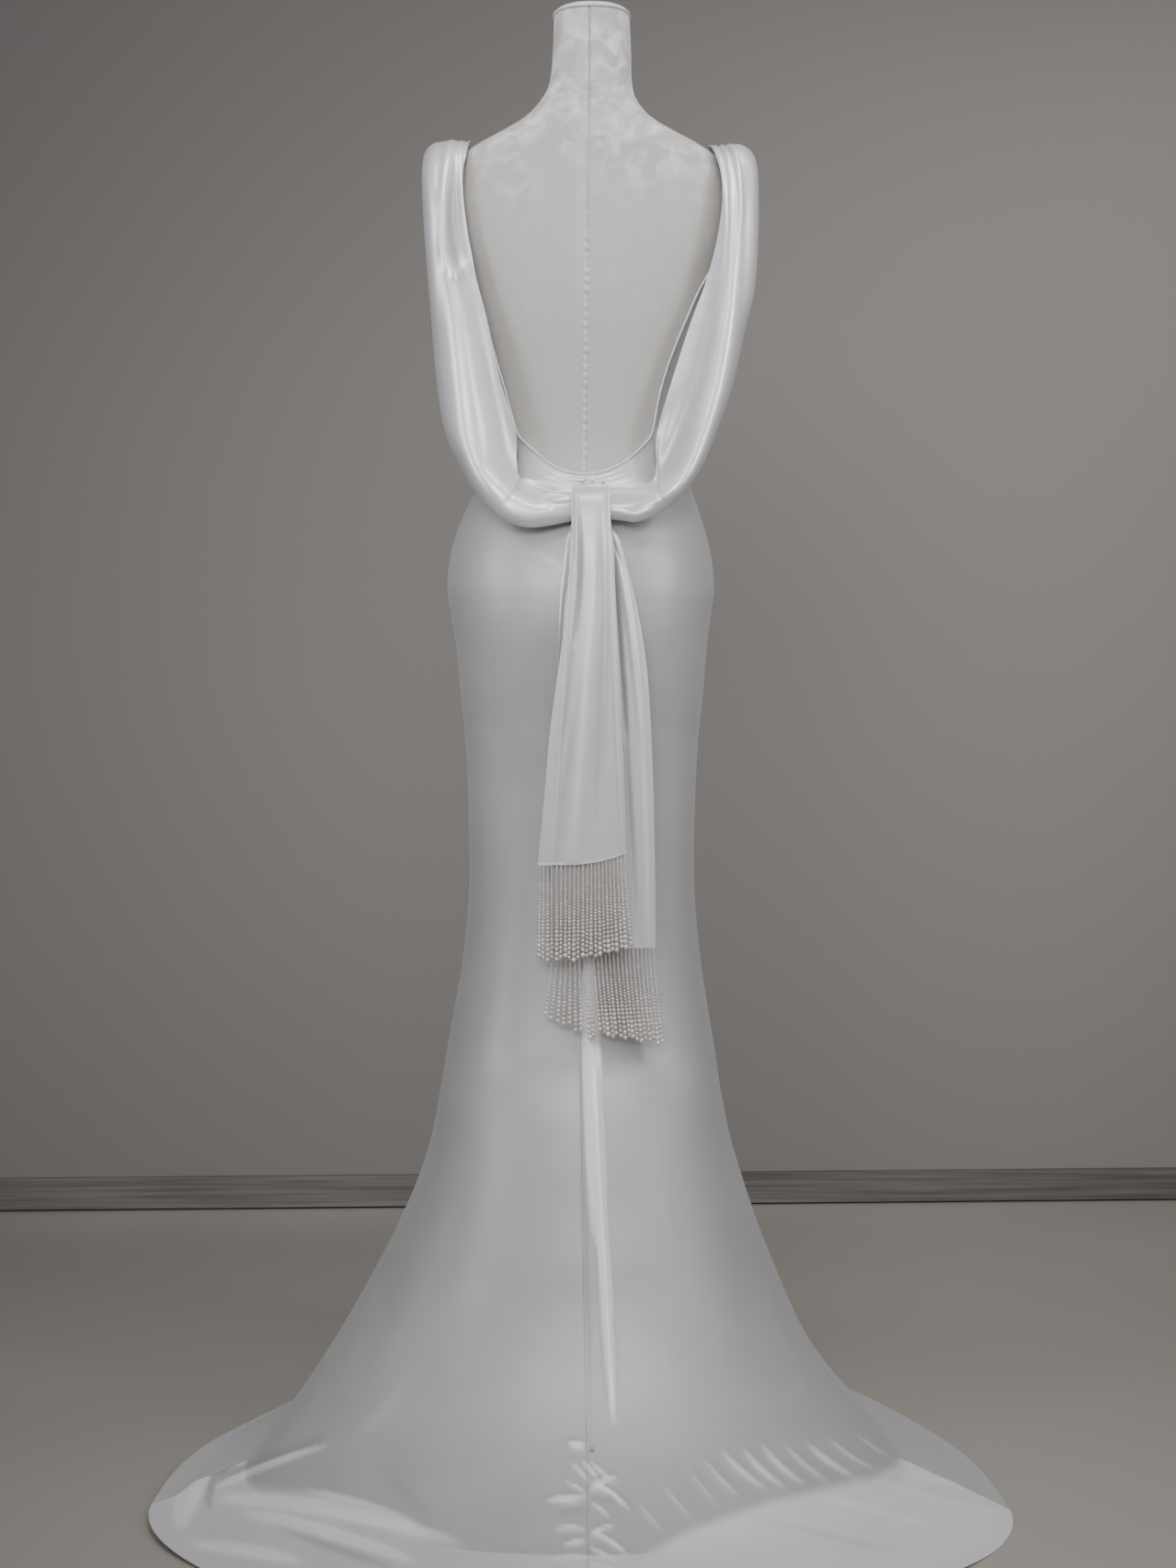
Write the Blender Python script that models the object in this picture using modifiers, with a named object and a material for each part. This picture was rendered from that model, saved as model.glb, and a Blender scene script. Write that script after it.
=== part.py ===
"""Bias-cut satin wedding dress on a limbless dress form, seen from its open back.

Metres, +Z up.  The stand's base rests on z = 0 and the form's axis is the Z axis.
+Y is the front of the gown, -Y its back and train.  +X is the viewer's right from behind.
Angles round the body start at the centre back and grow towards +X.
"""

import math

import bmesh
import bpy
import numpy as np
from mathutils import Vector

# Cloth and clearances
SATIN = 0.0015             # wall of the skirt, satin with its lining
BODICE_CLOTH = 0.0012
SASH_CLOTH = 0.0013        # drapes and sash tails
EASE = 0.0021              # from the form's skin to the inside of the cloth
BODICE_OUTSIDE = EASE + BODICE_CLOTH
SEAM_GAP = 0.0003          # between two pieces sewn together
HALF_SEAM = SEAM_GAP / 2

# Dress form and its stand
FORM_TOP = 1.745           # seam of the neck cap
FORM_BOTTOM = 0.930
CAP_RISE = 0.015
POLE_RADIUS = 0.0125
BASE_RADIUS = 0.165
BASE_EDGE = 0.006
BASE_RISE = 0.016
ROUNDNESS = 2.3            # superellipse exponent of the body's plan

# height, middle x, half width, front depth, back depth
FORM_RINGS = [
    (1.745, 0.0048, 0.0475, 0.048, 0.046),
    (1.700, 0.0050, 0.0493, 0.050, 0.048),
    (1.664, 0.0035, 0.0516, 0.053, 0.051),
    (1.641, 0.0012, 0.0597, 0.058, 0.055),
    (1.618, 0.0000, 0.0790, 0.062, 0.059),
    (1.600, 0.0000, 0.1080, 0.064, 0.062),
    (1.582, 0.0000, 0.1420, 0.066, 0.064),
    (1.565, 0.0000, 0.1640, 0.069, 0.065),
    (1.540, 0.0000, 0.1740, 0.075, 0.068),
    (1.500, 0.0000, 0.1770, 0.090, 0.074),
    (1.450, 0.0000, 0.1700, 0.108, 0.081),
    (1.400, 0.0000, 0.1560, 0.121, 0.086),
    (1.350, 0.0000, 0.1450, 0.123, 0.087),
    (1.300, 0.0000, 0.1340, 0.112, 0.085),
    (1.250, 0.0000, 0.1240, 0.099, 0.083),
    (1.200, -0.0010, 0.1210, 0.092, 0.083),
    (1.160, -0.0040, 0.1290, 0.091, 0.090),
    (1.140, -0.0060, 0.1360, 0.092, 0.099),
    (1.110, -0.0080, 0.1480, 0.094, 0.114),
    (1.080, -0.0090, 0.1570, 0.097, 0.126),
    (1.050, -0.0092, 0.1625, 0.100, 0.134),
    (1.020, -0.0092, 0.1635, 0.102, 0.138),
    (0.990, -0.0090, 0.1575, 0.101, 0.135),
    (0.960, -0.0082, 0.1500, 0.097, 0.126),
    (0.940, -0.0078, 0.1420, 0.092, 0.115),
    (0.930, -0.0076, 0.1300, 0.084, 0.102),
]

# The skirt below the hips, down to where it lies down on the floor.
# height, middle x, half width left, half width right, middle y, front y, back y, roundness
SKIRT_RINGS = [
    (0.990, -0.0090, 0.1628, 0.1628, 0.000, 0.105, -0.1420, 2.3),
    (0.960, -0.0084, 0.1583, 0.1583, 0.000, 0.105, -0.1396, 2.3),
    (0.930, -0.0080, 0.1551, 0.1551, 0.000, 0.104, -0.1350, 2.3),
    (0.900, -0.0078, 0.1526, 0.1526, 0.000, 0.103, -0.1301, 2.3),
    (0.870, -0.0078, 0.1496, 0.1496, 0.000, 0.103, -0.1253, 2.3),
    (0.840, -0.0079, 0.1467, 0.1467, 0.000, 0.103, -0.1212, 2.3),
    (0.784, -0.0078, 0.1432, 0.1432, 0.000, 0.105, -0.1158, 2.3),
    (0.726, -0.0080, 0.1416, 0.1416, 0.000, 0.109, -0.1130, 2.3),
    (0.668, -0.0080, 0.1408, 0.1408, 0.000, 0.114, -0.1130, 2.3),
    (0.610, -0.0080, 0.1437, 0.1437, 0.000, 0.122, -0.1170, 2.3),
    (0.552, -0.0082, 0.1500, 0.1500, -0.002, 0.134, -0.1250, 2.3),
    (0.494, -0.0086, 0.1597, 0.1590, -0.006, 0.150, -0.1370, 2.3),
    (0.440, -0.0088, 0.1687, 0.1675, -0.012, 0.168, -0.1560, 2.3),
    (0.390, -0.0082, 0.1774, 0.1740, -0.022, 0.187, -0.1960, 2.25),
    (0.340, -0.0075, 0.1871, 0.1833, -0.034, 0.208, -0.2310, 2.2),
    (0.290, -0.0065, 0.2043, 0.1974, -0.050, 0.230, -0.2640, 2.2),
    (0.240, -0.0055, 0.2275, 0.2132, -0.070, 0.252, -0.3000, 2.2),
    (0.190, -0.0045, 0.2542, 0.2323, -0.094, 0.275, -0.3350, 2.2),
    (0.145, -0.0035, 0.2809, 0.2512, -0.134, 0.297, -0.3730, 2.2),
    (0.105, -0.0025, 0.3072, 0.2728, -0.172, 0.315, -0.4150, 2.2),
    (0.070, -0.0015, 0.3321, 0.2985, -0.205, 0.327, -0.4620, 2.2),
    (0.040, -0.0010, 0.3564, 0.3274, -0.234, 0.335, -0.5130, 2.15),
    (0.016, -0.0005, 0.3776, 0.3500, -0.254, 0.340, -0.5650, 2.1),
    (0.004, 0.0000, 0.3880, 0.3600, -0.264, 0.343, -0.5980, 2.1),
]
HEM_RING = (0.0, 0.0, 0.4670, 0.4520, -0.450, 0.348, -0.8000, 1.9)
TRAIN_STEPS = (0.10, 0.38, 0.70, 1.0)    # shares of the way from the landing line to the hem

# Soft relief of the skirt's back, raised in its outside only
SEAM_RIDGE = 0.0045        # bias fold that runs down beside the centre-back seam
TRAIN_RIPPLE = 0.0040      # wrinkles that spread over the lying train
HEM_CURL = 0.012           # rise of the hem where it turns up at the far left

# Cut of the bodice: its free edge, from the yoke seam up the side of the back
# height, degrees left and right of the centre back
BACK_EDGE = [
    (1.140, 40.0, 40.0), (1.180, 38.5, 38.5), (1.204, 41.5, 38.0), (1.250, 48.5, 40.0),
    (1.293, 52.5, 43.5), (1.339, 56.0, 50.0), (1.392, 61.0, 59.0), (1.430, 70.0, 70.0),
    (1.470, 82.0, 82.0), (1.520, 90.0, 90.0), (1.560, 90.0, 90.0),
]
WAIST_HEIGHT = 1.140
LOW_BACK_HEIGHT = 1.157
YOKE_CORNER = 1.180        # height at which a yoke's width is measured
LOW_BACK_CURVE = 7.6       # rise of the low back's edge for each metre squared to the side
YOKE_GATHER = 0.0012       # height of the small folds that fan out from the closure
SHOULDER_HEIGHT = 1.560
STRAP_SHARE = 0.13         # width of a shoulder strap, as a share of the way across the front
NECKLINE_SHARE = 0.42      # where the neckline reaches its middle height
NECKLINE_HEIGHT = 1.440    # front neckline at its middle
BINDING_RADIUS = 0.0015

# Draped bands, shoulder to centre back: inner edge, ridge and outer edge of each section
# inner x, y, z, ridge x, y, z, outer x, y, z
LEFT_DRAPE = [
    (-0.150, 0.047, 1.5460, -0.171, 0.038, 1.5460, -0.1910, 0.020, 1.544),
    (-0.149, 0.036, 1.5790, -0.176, 0.032, 1.5830, -0.2040, 0.019, 1.568),
    (-0.148, 0.000, 1.5895, -0.177, 0.000, 1.5900, -0.2060, 0.000, 1.573),
    (-0.150, -0.036, 1.5720, -0.178, -0.044, 1.5680, -0.2080, -0.020, 1.558),
    (-0.156, -0.056, 1.5230, -0.178, -0.073, 1.5140, -0.2070, -0.035, 1.530),
    (-0.149, -0.068, 1.4600, -0.176, -0.088, 1.4490, -0.2020, -0.042, 1.467),
    (-0.137, -0.078, 1.4000, -0.170, -0.099, 1.3900, -0.1965, -0.050, 1.405),
    (-0.123, -0.087, 1.3460, -0.161, -0.110, 1.3360, -0.1925, -0.058, 1.353),
    (-0.107, -0.096, 1.2740, -0.154, -0.123, 1.2670, -0.1860, -0.068, 1.282),
    (-0.088, -0.103, 1.2100, -0.150, -0.134, 1.2080, -0.1735, -0.082, 1.212),
    (-0.087, -0.104, 1.1740, -0.136, -0.143, 1.1670, -0.1540, -0.100, 1.165),
    (-0.084, -0.106, 1.1560, -0.115, -0.150, 1.1380, -0.1330, -0.122, 1.126),
    (-0.070, -0.110, 1.1500, -0.092, -0.152, 1.1110, -0.1080, -0.137, 1.098),
    (-0.052, -0.112, 1.1450, -0.068, -0.151, 1.1000, -0.0760, -0.140, 1.087),
    (-0.034, -0.111, 1.1400, -0.040, -0.146, 1.1040, -0.0400, -0.137, 1.091),
    (-0.00015, -0.1058, 1.1380, -0.00015, -0.138, 1.1120, -0.00015, -0.133, 1.099),
]
RIGHT_DRAPE = [
    (0.150, 0.047, 1.5460, 0.172, 0.038, 1.5460, 0.1920, 0.020, 1.544),
    (0.152, 0.036, 1.5770, 0.179, 0.032, 1.5790, 0.2070, 0.019, 1.563),
    (0.152, 0.000, 1.5850, 0.181, 0.000, 1.5850, 0.2100, 0.000, 1.568),
    (0.158, -0.036, 1.5660, 0.183, -0.044, 1.5640, 0.2120, -0.020, 1.552),
    (0.167, -0.054, 1.5200, 0.182, -0.071, 1.5130, 0.2120, -0.032, 1.529),
    (0.160, -0.067, 1.4570, 0.182, -0.087, 1.4500, 0.2100, -0.040, 1.465),
    (0.145, -0.078, 1.3980, 0.178, -0.099, 1.3860, 0.2040, -0.048, 1.397),
    (0.125, -0.089, 1.3430, 0.171, -0.111, 1.3300, 0.1900, -0.058, 1.341),
    (0.102, -0.099, 1.2710, 0.159, -0.125, 1.2610, 0.1740, -0.072, 1.273),
    (0.084, -0.104, 1.2080, 0.142, -0.137, 1.2060, 0.1555, -0.090, 1.216),
    (0.082, -0.105, 1.1700, 0.124, -0.147, 1.1660, 0.1370, -0.110, 1.168),
    (0.079, -0.107, 1.1500, 0.106, -0.152, 1.1360, 0.1190, -0.128, 1.137),
    (0.064, -0.111, 1.1440, 0.084, -0.152, 1.1190, 0.0980, -0.136, 1.110),
    (0.048, -0.112, 1.1430, 0.058, -0.151, 1.1100, 0.0640, -0.139, 1.094),
    (0.030, -0.111, 1.1400, 0.038, -0.146, 1.1110, 0.0380, -0.137, 1.096),
    (0.00015, -0.1058, 1.1380, 0.00015, -0.138, 1.1140, 0.00015, -0.133, 1.100),
]
DRAPE_ROWS = 28
DRAPE_COLUMNS = 15
DRAPE_FOLD = 0.010         # hollow between the two layers of a folded band
# share of the band's length, and how far across the under layer reaches there
DRAPE_TUCK = ((0.0, 0.1, 0.6, 0.8, 1.0), (0.20, 0.45, 0.45, 0.25, 0.25))
DRAPE_ROLL = 0.17          # rise of the round between fold and ridge, as a share of its width
DRAPE_SHOULDER = 0.05      # the same between ridge and inner edge
DRAPE_DIP = 0.003          # how far the cloth sinks before its inner edge

# Folds along a band: share of its length at the start, middle and end, each with the share
# across there (0 under layer, 1 inner edge); width as a share across, and rise
LEFT_DRAPE_FOLDS = [
    (0.10, 0.56, 0.24, 0.50, 0.44, 0.60, 0.065, 0.0060),    # outer ridge from the shoulder
    (0.08, 0.80, 0.24, 0.84, 0.44, 0.76, 0.065, 0.0055),    # inner ridge
    (0.12, 0.68, 0.24, 0.67, 0.36, 0.68, 0.060, -0.0040),   # pocket between them
    (0.34, 0.66, 0.52, 0.62, 0.72, 0.55, 0.110, 0.0040),    # broad swell of the band
    (0.72, 0.52, 0.84, 0.50, 0.95, 0.50, 0.080, 0.0045),    # roll of the swag
    (0.78, 0.82, 0.87, 0.80, 0.95, 0.74, 0.070, 0.0035),    # pleat beside the knot
]
RIGHT_DRAPE_FOLDS = [
    (0.08, 0.62, 0.26, 0.60, 0.60, 0.55, 0.080, 0.0060),    # broad ridge from the shoulder
    (0.05, 0.79, 0.18, 0.79, 0.44, 0.76, 0.050, 0.0034),    # fine pleats beside the inner edge
    (0.05, 0.93, 0.16, 0.93, 0.38, 0.93, 0.050, 0.0030),
    (0.50, 0.62, 0.64, 0.56, 0.80, 0.54, 0.090, 0.0040),    # swell towards the waist
    (0.72, 0.50, 0.84, 0.52, 0.94, 0.52, 0.080, 0.0050),    # roll of the swag
    (0.80, 0.80, 0.88, 0.78, 0.94, 0.72, 0.070, 0.0030),    # pleat beside the knot
]

# Sash tails: height, left x, right x, y of the outside
FRONT_TAIL = [
    (1.1406, -0.0170, 0.0240, -0.1107),
    (1.1394, -0.0180, 0.0245, -0.1229),
    (1.1338, -0.0190, 0.0255, -0.1352),
    (1.1230, -0.0190, 0.0260, -0.1444),
    (1.1080, -0.0190, 0.0265, -0.1493),
    (1.0850, -0.0187, 0.0280, -0.1530),
    (1.0580, -0.0210, 0.0310, -0.1560),
    (1.0030, -0.0250, 0.0330, -0.1575),
    (0.9480, -0.0310, 0.0360, -0.1575),
    (0.8930, -0.0390, 0.0390, -0.1570),
    (0.8380, -0.0460, 0.0410, -0.1560),
    (0.7610, -0.0530, 0.0440, -0.1545),
    (0.6970, -0.0600, 0.0460, -0.1535),
]
REAR_TAIL = [
    (1.1110, -0.0160, 0.0220, -0.1192),
    (1.0900, -0.0220, 0.0290, -0.1300),
    (1.0680, -0.0270, 0.0400, -0.1400),
    (1.0380, -0.0300, 0.0480, -0.1440),
    (1.0150, -0.0330, 0.0540, -0.1455),
    (0.9590, -0.0350, 0.0650, -0.1465),
    (0.9030, -0.0370, 0.0720, -0.1465),
    (0.8120, -0.0410, 0.0770, -0.1460),
    (0.6990, -0.0440, 0.0800, -0.1455),
    (0.5850, -0.0460, 0.0810, -0.1450),
]
# Folds along a tail: as for a band, with 0 at its left edge
FRONT_TAIL_FOLDS = [
    (0.08, 0.05, 0.50, 0.04, 1.00, 0.03, 0.080, 0.0028),    # rolled left edge
    (0.06, 0.16, 0.40, 0.14, 0.90, 0.12, 0.070, -0.0022),
    (0.06, 0.30, 0.35, 0.26, 0.80, 0.24, 0.080, 0.0028),
    (0.08, 0.64, 0.50, 0.66, 0.98, 0.68, 0.120, 0.0030),
]
REAR_TAIL_FOLDS = [
    (0.10, 0.06, 0.50, 0.05, 1.00, 0.04, 0.080, 0.0018),
    (0.10, 0.72, 0.45, 0.70, 0.90, 0.66, 0.080, 0.0028),
    (0.12, 0.86, 0.50, 0.84, 0.95, 0.80, 0.070, -0.0018),
]

# Pearl fringe: strands, left and right x of the tips, their heights, y of the tips, thickness
FRONT_FRINGE = (22, -0.0590, 0.0490, 0.5690, 0.5840, -0.1560, 0.0028)
REAR_FRINGE = (25, -0.0520, 0.0900, 0.4990, 0.4640, -0.1590, 0.0030)
FRINGE_TAPE = 0.0035       # height of the tape that holds the strands
TAPE_THICKNESS = 0.0022
STRAND_SHARE = 0.62        # a strand's width at the tape, as a share of the pitch
STRAND_STEPS = (0.5, 1.0)  # shares of a strand's length at which it has a ring
STRAND_SPREAD = 1.3        # a strand hangs straighter near the tape
STRAND_TAPER = (0.85, 1.15)    # its pearls grow from the tape to the tip

CRYSTALS = [(-0.008, 1.1485), (0.005, 1.1490), (0.018, 1.1480)]    # x and height
CRYSTAL_RADIUS = 0.0028
CRYSTAL_SQUASH = 0.6       # a button is flatter towards the cloth
CRYSTAL_GAP = 0.0006       # between a button and the cloth it is sewn to
TRAIN_BUTTON = (0.0045, 0.0700, 0.0030)    # x, height and radius of the bustle button

for item in list(bpy.data.objects):
    bpy.data.objects.remove(item, do_unlink=True)
dress = bpy.data.collections.new("wedding_dress")
bpy.context.scene.collection.children.link(dress)


def finish_material(name, colour, roughness):
    material = bpy.data.materials.new(name)
    material.use_nodes = True
    shader = material.node_tree.nodes["Principled BSDF"]
    shader.inputs["Base Color"].default_value = (*colour, 1.0)
    shader.inputs["Roughness"].default_value = roughness
    return material


satin = finish_material("ivory_satin", (0.86, 0.85, 0.84), 0.32)
sash_satin = finish_material("sash_satin", (0.88, 0.87, 0.84), 0.30)
velvet = finish_material("crushed_velvet", (0.78, 0.76, 0.73), 0.85)
pearl = finish_material("pearl", (0.86, 0.82, 0.76), 0.22)
crystal = finish_material("clear_crystal", (0.92, 0.93, 0.95), 0.05)
enamel = finish_material("white_enamel", (0.82, 0.82, 0.81), 0.35)

SHARP_EDGE = math.radians(50)


def add_mesh(name, points, faces, material):
    """One closed body from its points and faces, turned to face outwards."""
    mesh = bpy.data.meshes.new(name)
    mesh.from_pydata([tuple(point) for point in points], [], faces)
    body = bmesh.new()
    body.from_mesh(mesh)
    bmesh.ops.recalc_face_normals(body, faces=body.faces)
    body.to_mesh(mesh)
    body.free()
    mesh.materials.append(material)
    mesh.shade_smooth()
    mesh.set_sharp_from_angle(angle=SHARP_EDGE)
    piece = bpy.data.objects.new(name, mesh)
    dress.objects.link(piece)
    return piece


def between(table, height):
    """The table's row at a height, its rows running downwards or upwards."""
    rows = np.array(sorted(table))
    return [np.interp(height, rows[:, 0], rows[:, column]) for column in range(1, rows.shape[1])]


def smooth_rows(table, count):
    """Rows read evenly from a smooth curve through the table's rows."""
    rows = np.array(table, dtype=float)
    last = len(rows) - 1
    result = []
    for place in np.linspace(0.0, last, count):
        start = min(int(place), last - 1)
        share = place - start
        before, first, second, after = (rows[min(max(start + step, 0), last)] for step in (-1, 0, 1, 2))
        result.append(0.5 * (2 * first + (second - before) * share
                             + (2 * before - 5 * first + 4 * second - after) * share ** 2
                             + (3 * first - before - 3 * second + after) * share ** 3))
    return np.array(result)


def on_ring(angle, height, centre, left, right, middle, front, back, roundness):
    """A point of a ring round the body, at an angle in degrees from the centre back."""
    side = math.sin(math.radians(angle))
    rear = math.cos(math.radians(angle))
    half = right if side > 0 else left
    reach = (middle - back) if rear > 0 else (front - middle)
    x = centre + half * math.copysign(abs(side) ** (2 / roundness), side)
    y = middle - reach * math.copysign(abs(rear) ** (2 / roundness), rear)
    return np.array((x, y, height))


def form_ring(height, offset=0.0):
    """The dress form's ring at a height, or a ring moved out from it."""
    centre, half, front, back = between(FORM_RINGS, height)
    return (height, centre, half + offset, half + offset, 0.0, front + offset, -back - offset, ROUNDNESS)


def on_form(angle, height, offset=0.0):
    """A point on the dress form's skin, or moved out from it."""
    return on_ring(angle, *form_ring(height, offset))


def form_normal(angle, height):
    """The way out from the form at a point."""
    across = on_form(angle + 1.0, height) - on_form(angle - 1.0, height)
    down = on_form(angle, height - 0.004) - on_form(angle, height + 0.004)
    normal = np.cross(down, across)
    return normal / np.linalg.norm(normal)


def grid_normals(grid, across=None):
    """Unit normals of a grid whose columns run left to right, seen from outside."""
    down = np.gradient(grid, axis=0)
    if across is None:
        across = np.gradient(grid, axis=1)
    normals = np.cross(down, across)
    return normals / np.linalg.norm(normals, axis=2, keepdims=True)


def folded(grid, folds, from_left=True):
    """The grid raised along each fold of a table, which reads across from the left or the right."""
    rows, columns = grid.shape[:2]
    down = np.linspace(0.0, 1.0, rows)[:, None]
    over = np.linspace(0.0, 1.0, columns)[None, :]
    if not from_left:
        over = over[:, ::-1]
    rise = np.zeros((rows, columns))
    for start, at_start, middle, at_middle, end, at_end, width, height in folds:
        line = np.interp(down, (start, middle, end), (at_start, at_middle, at_end))
        length = np.clip((down - start) / (end - start), 0.0, 1.0)
        rise += height * np.sin(math.pi * length) * np.exp(-((over - line) / width) ** 2)
    return grid + grid_normals(grid) * rise[..., None]


def cloth(name, outer, inner, material):
    """A wall of cloth between the grid of its outside and the grid of its inside."""
    rows, columns = outer.shape[:2]
    count = rows * columns
    faces = []
    for row in range(rows - 1):
        for column in range(columns - 1):
            corner = row * columns + column
            face = (corner, corner + 1, corner + columns + 1, corner + columns)
            faces.append(face)
            faces.append(tuple(index + count for index in reversed(face)))
    edge = [row * columns for row in range(rows)]
    edge += [(rows - 1) * columns + column for column in range(1, columns)]
    edge += [row * columns + columns - 1 for row in range(rows - 2, -1, -1)]
    edge += [column for column in range(columns - 2, 0, -1)]
    for here, there in zip(edge, edge[1:] + edge[:1]):
        faces.append((here, there, there + count, here + count))
    points = np.concatenate((outer.reshape(-1, 3), inner.reshape(-1, 3)))
    return add_mesh(name, points, faces, material)


def solid_rings(name, rings, material):
    """A solid lofted through rings of the same count, with flat ends."""
    count = len(rings[0])
    faces = [tuple(range(count)), tuple(range((len(rings) - 1) * count, len(rings) * count))]
    for row in range(len(rings) - 1):
        for column in range(count):
            beside = (column + 1) % count
            faces.append((row * count + column, row * count + beside,
                          (row + 1) * count + beside, (row + 1) * count + column))
    return add_mesh(name, [point for ring in rings for point in ring], faces, material)


def turned(name, profile, steps):
    """A turned piece of the stand, from its profile of radius and height, top to bottom."""
    mesh = bpy.data.meshes.new(name)
    mesh.from_pydata([(radius, 0.0, height) for radius, height in profile], [],
                     [(index, index + 1) for index in range(len(profile) - 1)])
    mesh.materials.append(enamel)
    piece = bpy.data.objects.new(name, mesh)
    dress.objects.link(piece)
    screw = piece.modifiers.new("turn", "SCREW")
    screw.steps = steps
    screw.render_steps = steps
    screw.use_merge_vertices = True
    screw.merge_threshold = 0.00005
    screw.use_smooth_shade = True
    screw.use_normal_flip = True
    return piece


# Dress form, with its neck cap, pole and base
FORM_COLUMNS = 36
CAP_COLUMNS = 24
CAP_STEPS = (0.0, 0.35, 0.70, 0.90, 1.0)     # shares of the cap's rise
CAP_FLAT = 0.20            # radius of the flat at the cap's top, as a share of the neck's

solid_rings("form_torso",
            [[on_form(360 * column / FORM_COLUMNS, row[0]) for column in range(FORM_COLUMNS)]
             for row in FORM_RINGS], velvet)

_, neck_middle, neck_half, neck_front, neck_back = FORM_RINGS[0]
cap_rings = []
for share in CAP_STEPS:
    shrink = math.sqrt(1.0 - share ** 2 * (1.0 - CAP_FLAT ** 2))
    ring = (FORM_TOP + SEAM_GAP + CAP_RISE * share, neck_middle, neck_half * shrink, neck_half * shrink,
            0.0, neck_front * shrink, -neck_back * shrink, ROUNDNESS)
    cap_rings.append([on_ring(360 * column / CAP_COLUMNS, *ring) for column in range(CAP_COLUMNS)])
solid_rings("neck_cap", cap_rings, velvet)

turned("stand_base", [
    (0.0, BASE_RISE), (POLE_RADIUS * 1.8, BASE_RISE), (POLE_RADIUS * 2.2, BASE_RISE - 0.004),
    (BASE_RADIUS - 0.010, BASE_EDGE), (BASE_RADIUS, BASE_EDGE - 0.002), (BASE_RADIUS, 0.0), (0.0, 0.0),
], steps=32)
turned("stand_pole", [
    (0.0, FORM_BOTTOM - SEAM_GAP), (POLE_RADIUS, FORM_BOTTOM - SEAM_GAP),
    (POLE_RADIUS, BASE_RISE + SEAM_GAP), (0.0, BASE_RISE + SEAM_GAP),
], steps=20)


# Bodice: front and sides in one piece, from the waist to the shoulders
def edge_angle(height, side):
    return between(BACK_EDGE, height)[0 if side < 0 else 1]


def bodice_top(share):
    """Height of the bodice's top edge, from one back edge at 0 to the other at 1."""
    from_strap = (min(share, 1.0 - share) - STRAP_SHARE) / (NECKLINE_SHARE - STRAP_SHARE)
    dip = math.sin(min(max(from_strap, 0.0), 1.0) * math.pi / 2) ** 2
    return SHOULDER_HEIGHT + (NECKLINE_HEIGHT - SHOULDER_HEIGHT) * dip


BODICE_ROWS = 18
BODICE_COLUMNS = 28
bodice = np.zeros((BODICE_ROWS, BODICE_COLUMNS, 3))
bodice_inner = np.zeros((BODICE_ROWS, BODICE_COLUMNS, 3))
for row in range(BODICE_ROWS):
    for column in range(BODICE_COLUMNS):
        across = column / (BODICE_COLUMNS - 1)
        top = bodice_top(across)
        height = top + (WAIST_HEIGHT + HALF_SEAM - top) * row / (BODICE_ROWS - 1)
        right = edge_angle(height, 1)
        angle = right + (360 - right - edge_angle(height, -1)) * across
        bodice[row, column] = on_form(angle, height, BODICE_OUTSIDE)
        bodice_inner[row, column] = on_form(angle, height, EASE)
cloth("bodice_front", bodice, bodice_inner, satin)


# Yokes: the two panels of the low back, gathered towards the closure
YOKE_ROWS = 7
YOKE_COLUMNS = 12
YOKE_CROWDING = 1.3        # columns stand closer together towards the closure
CLOSURE_SHARE = 0.34       # share of a yoke's width that stays flat under the closure
SEAM_ANGLE = 0.45          # degrees that a yoke stays short of the bodice, for the seam


def yoke_wall(side, offset, gather):
    """One face of a yoke, with every other row raised where the cloth is gathered."""
    middle = on_form(0.0, YOKE_CORNER)[0]
    wall = np.zeros((YOKE_ROWS, YOKE_COLUMNS, 3))
    for column in range(YOKE_COLUMNS):
        share = (column / (YOKE_COLUMNS - 1)) ** YOKE_CROWDING
        reach = on_form(share * edge_angle(YOKE_CORNER, side), YOKE_CORNER)[0] - middle
        top = LOW_BACK_HEIGHT + LOW_BACK_CURVE * reach * reach
        for row in range(YOKE_ROWS):
            height = top + (WAIST_HEIGHT + HALF_SEAM - top) * row / (YOKE_ROWS - 1)
            angle = side * share * (edge_angle(height, side) - SEAM_ANGLE)
            beside = max(share - CLOSURE_SHARE, 0.0) / (1.0 - CLOSURE_SHARE)
            raised = gather * (row % 2) * math.sin(math.pi * beside ** 0.6)
            wall[row, column] = on_form(angle, height, offset + raised) + (side * HALF_SEAM, 0.0, 0.0)
    return wall if side > 0 else wall[:, ::-1]


yoke_edges = {}
for side, name in ((-1, "yoke_back_left"), (1, "yoke_back_right")):
    yoke = yoke_wall(side, BODICE_OUTSIDE, YOKE_GATHER)
    cloth(name, yoke, yoke_wall(side, EASE, 0.0), satin)
    yoke_edges[side] = yoke[0]

# Binding: a narrow rouleau along the whole open edge of the back, just off its cloth
BINDING_TOP = 1.500
BINDING_TURN = 1.218       # where it passes from the bodice to the yoke
right_side = [point for point in bodice[:, 0] if BINDING_TURN < point[2] < BINDING_TOP]
left_side = [point for point in bodice[:, -1] if BINDING_TURN < point[2] < BINDING_TOP]
edge_points = [Vector(point) for point in right_side]
edge_points += [Vector(point) for point in yoke_edges[1][::-1]]
edge_points += [Vector(point) for point in yoke_edges[-1][::-1]]
edge_points += [Vector(point) for point in left_side[::-1]]
binding_curve = bpy.data.curves.new("back_binding", "CURVE")
binding_curve.dimensions = "3D"
binding_curve.bevel_depth = BINDING_RADIUS
binding_curve.bevel_resolution = 1
binding_curve.use_fill_caps = True
binding_curve.materials.append(satin)
spline = binding_curve.splines.new("POLY")
spline.points.add(len(edge_points) - 1)
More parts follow.
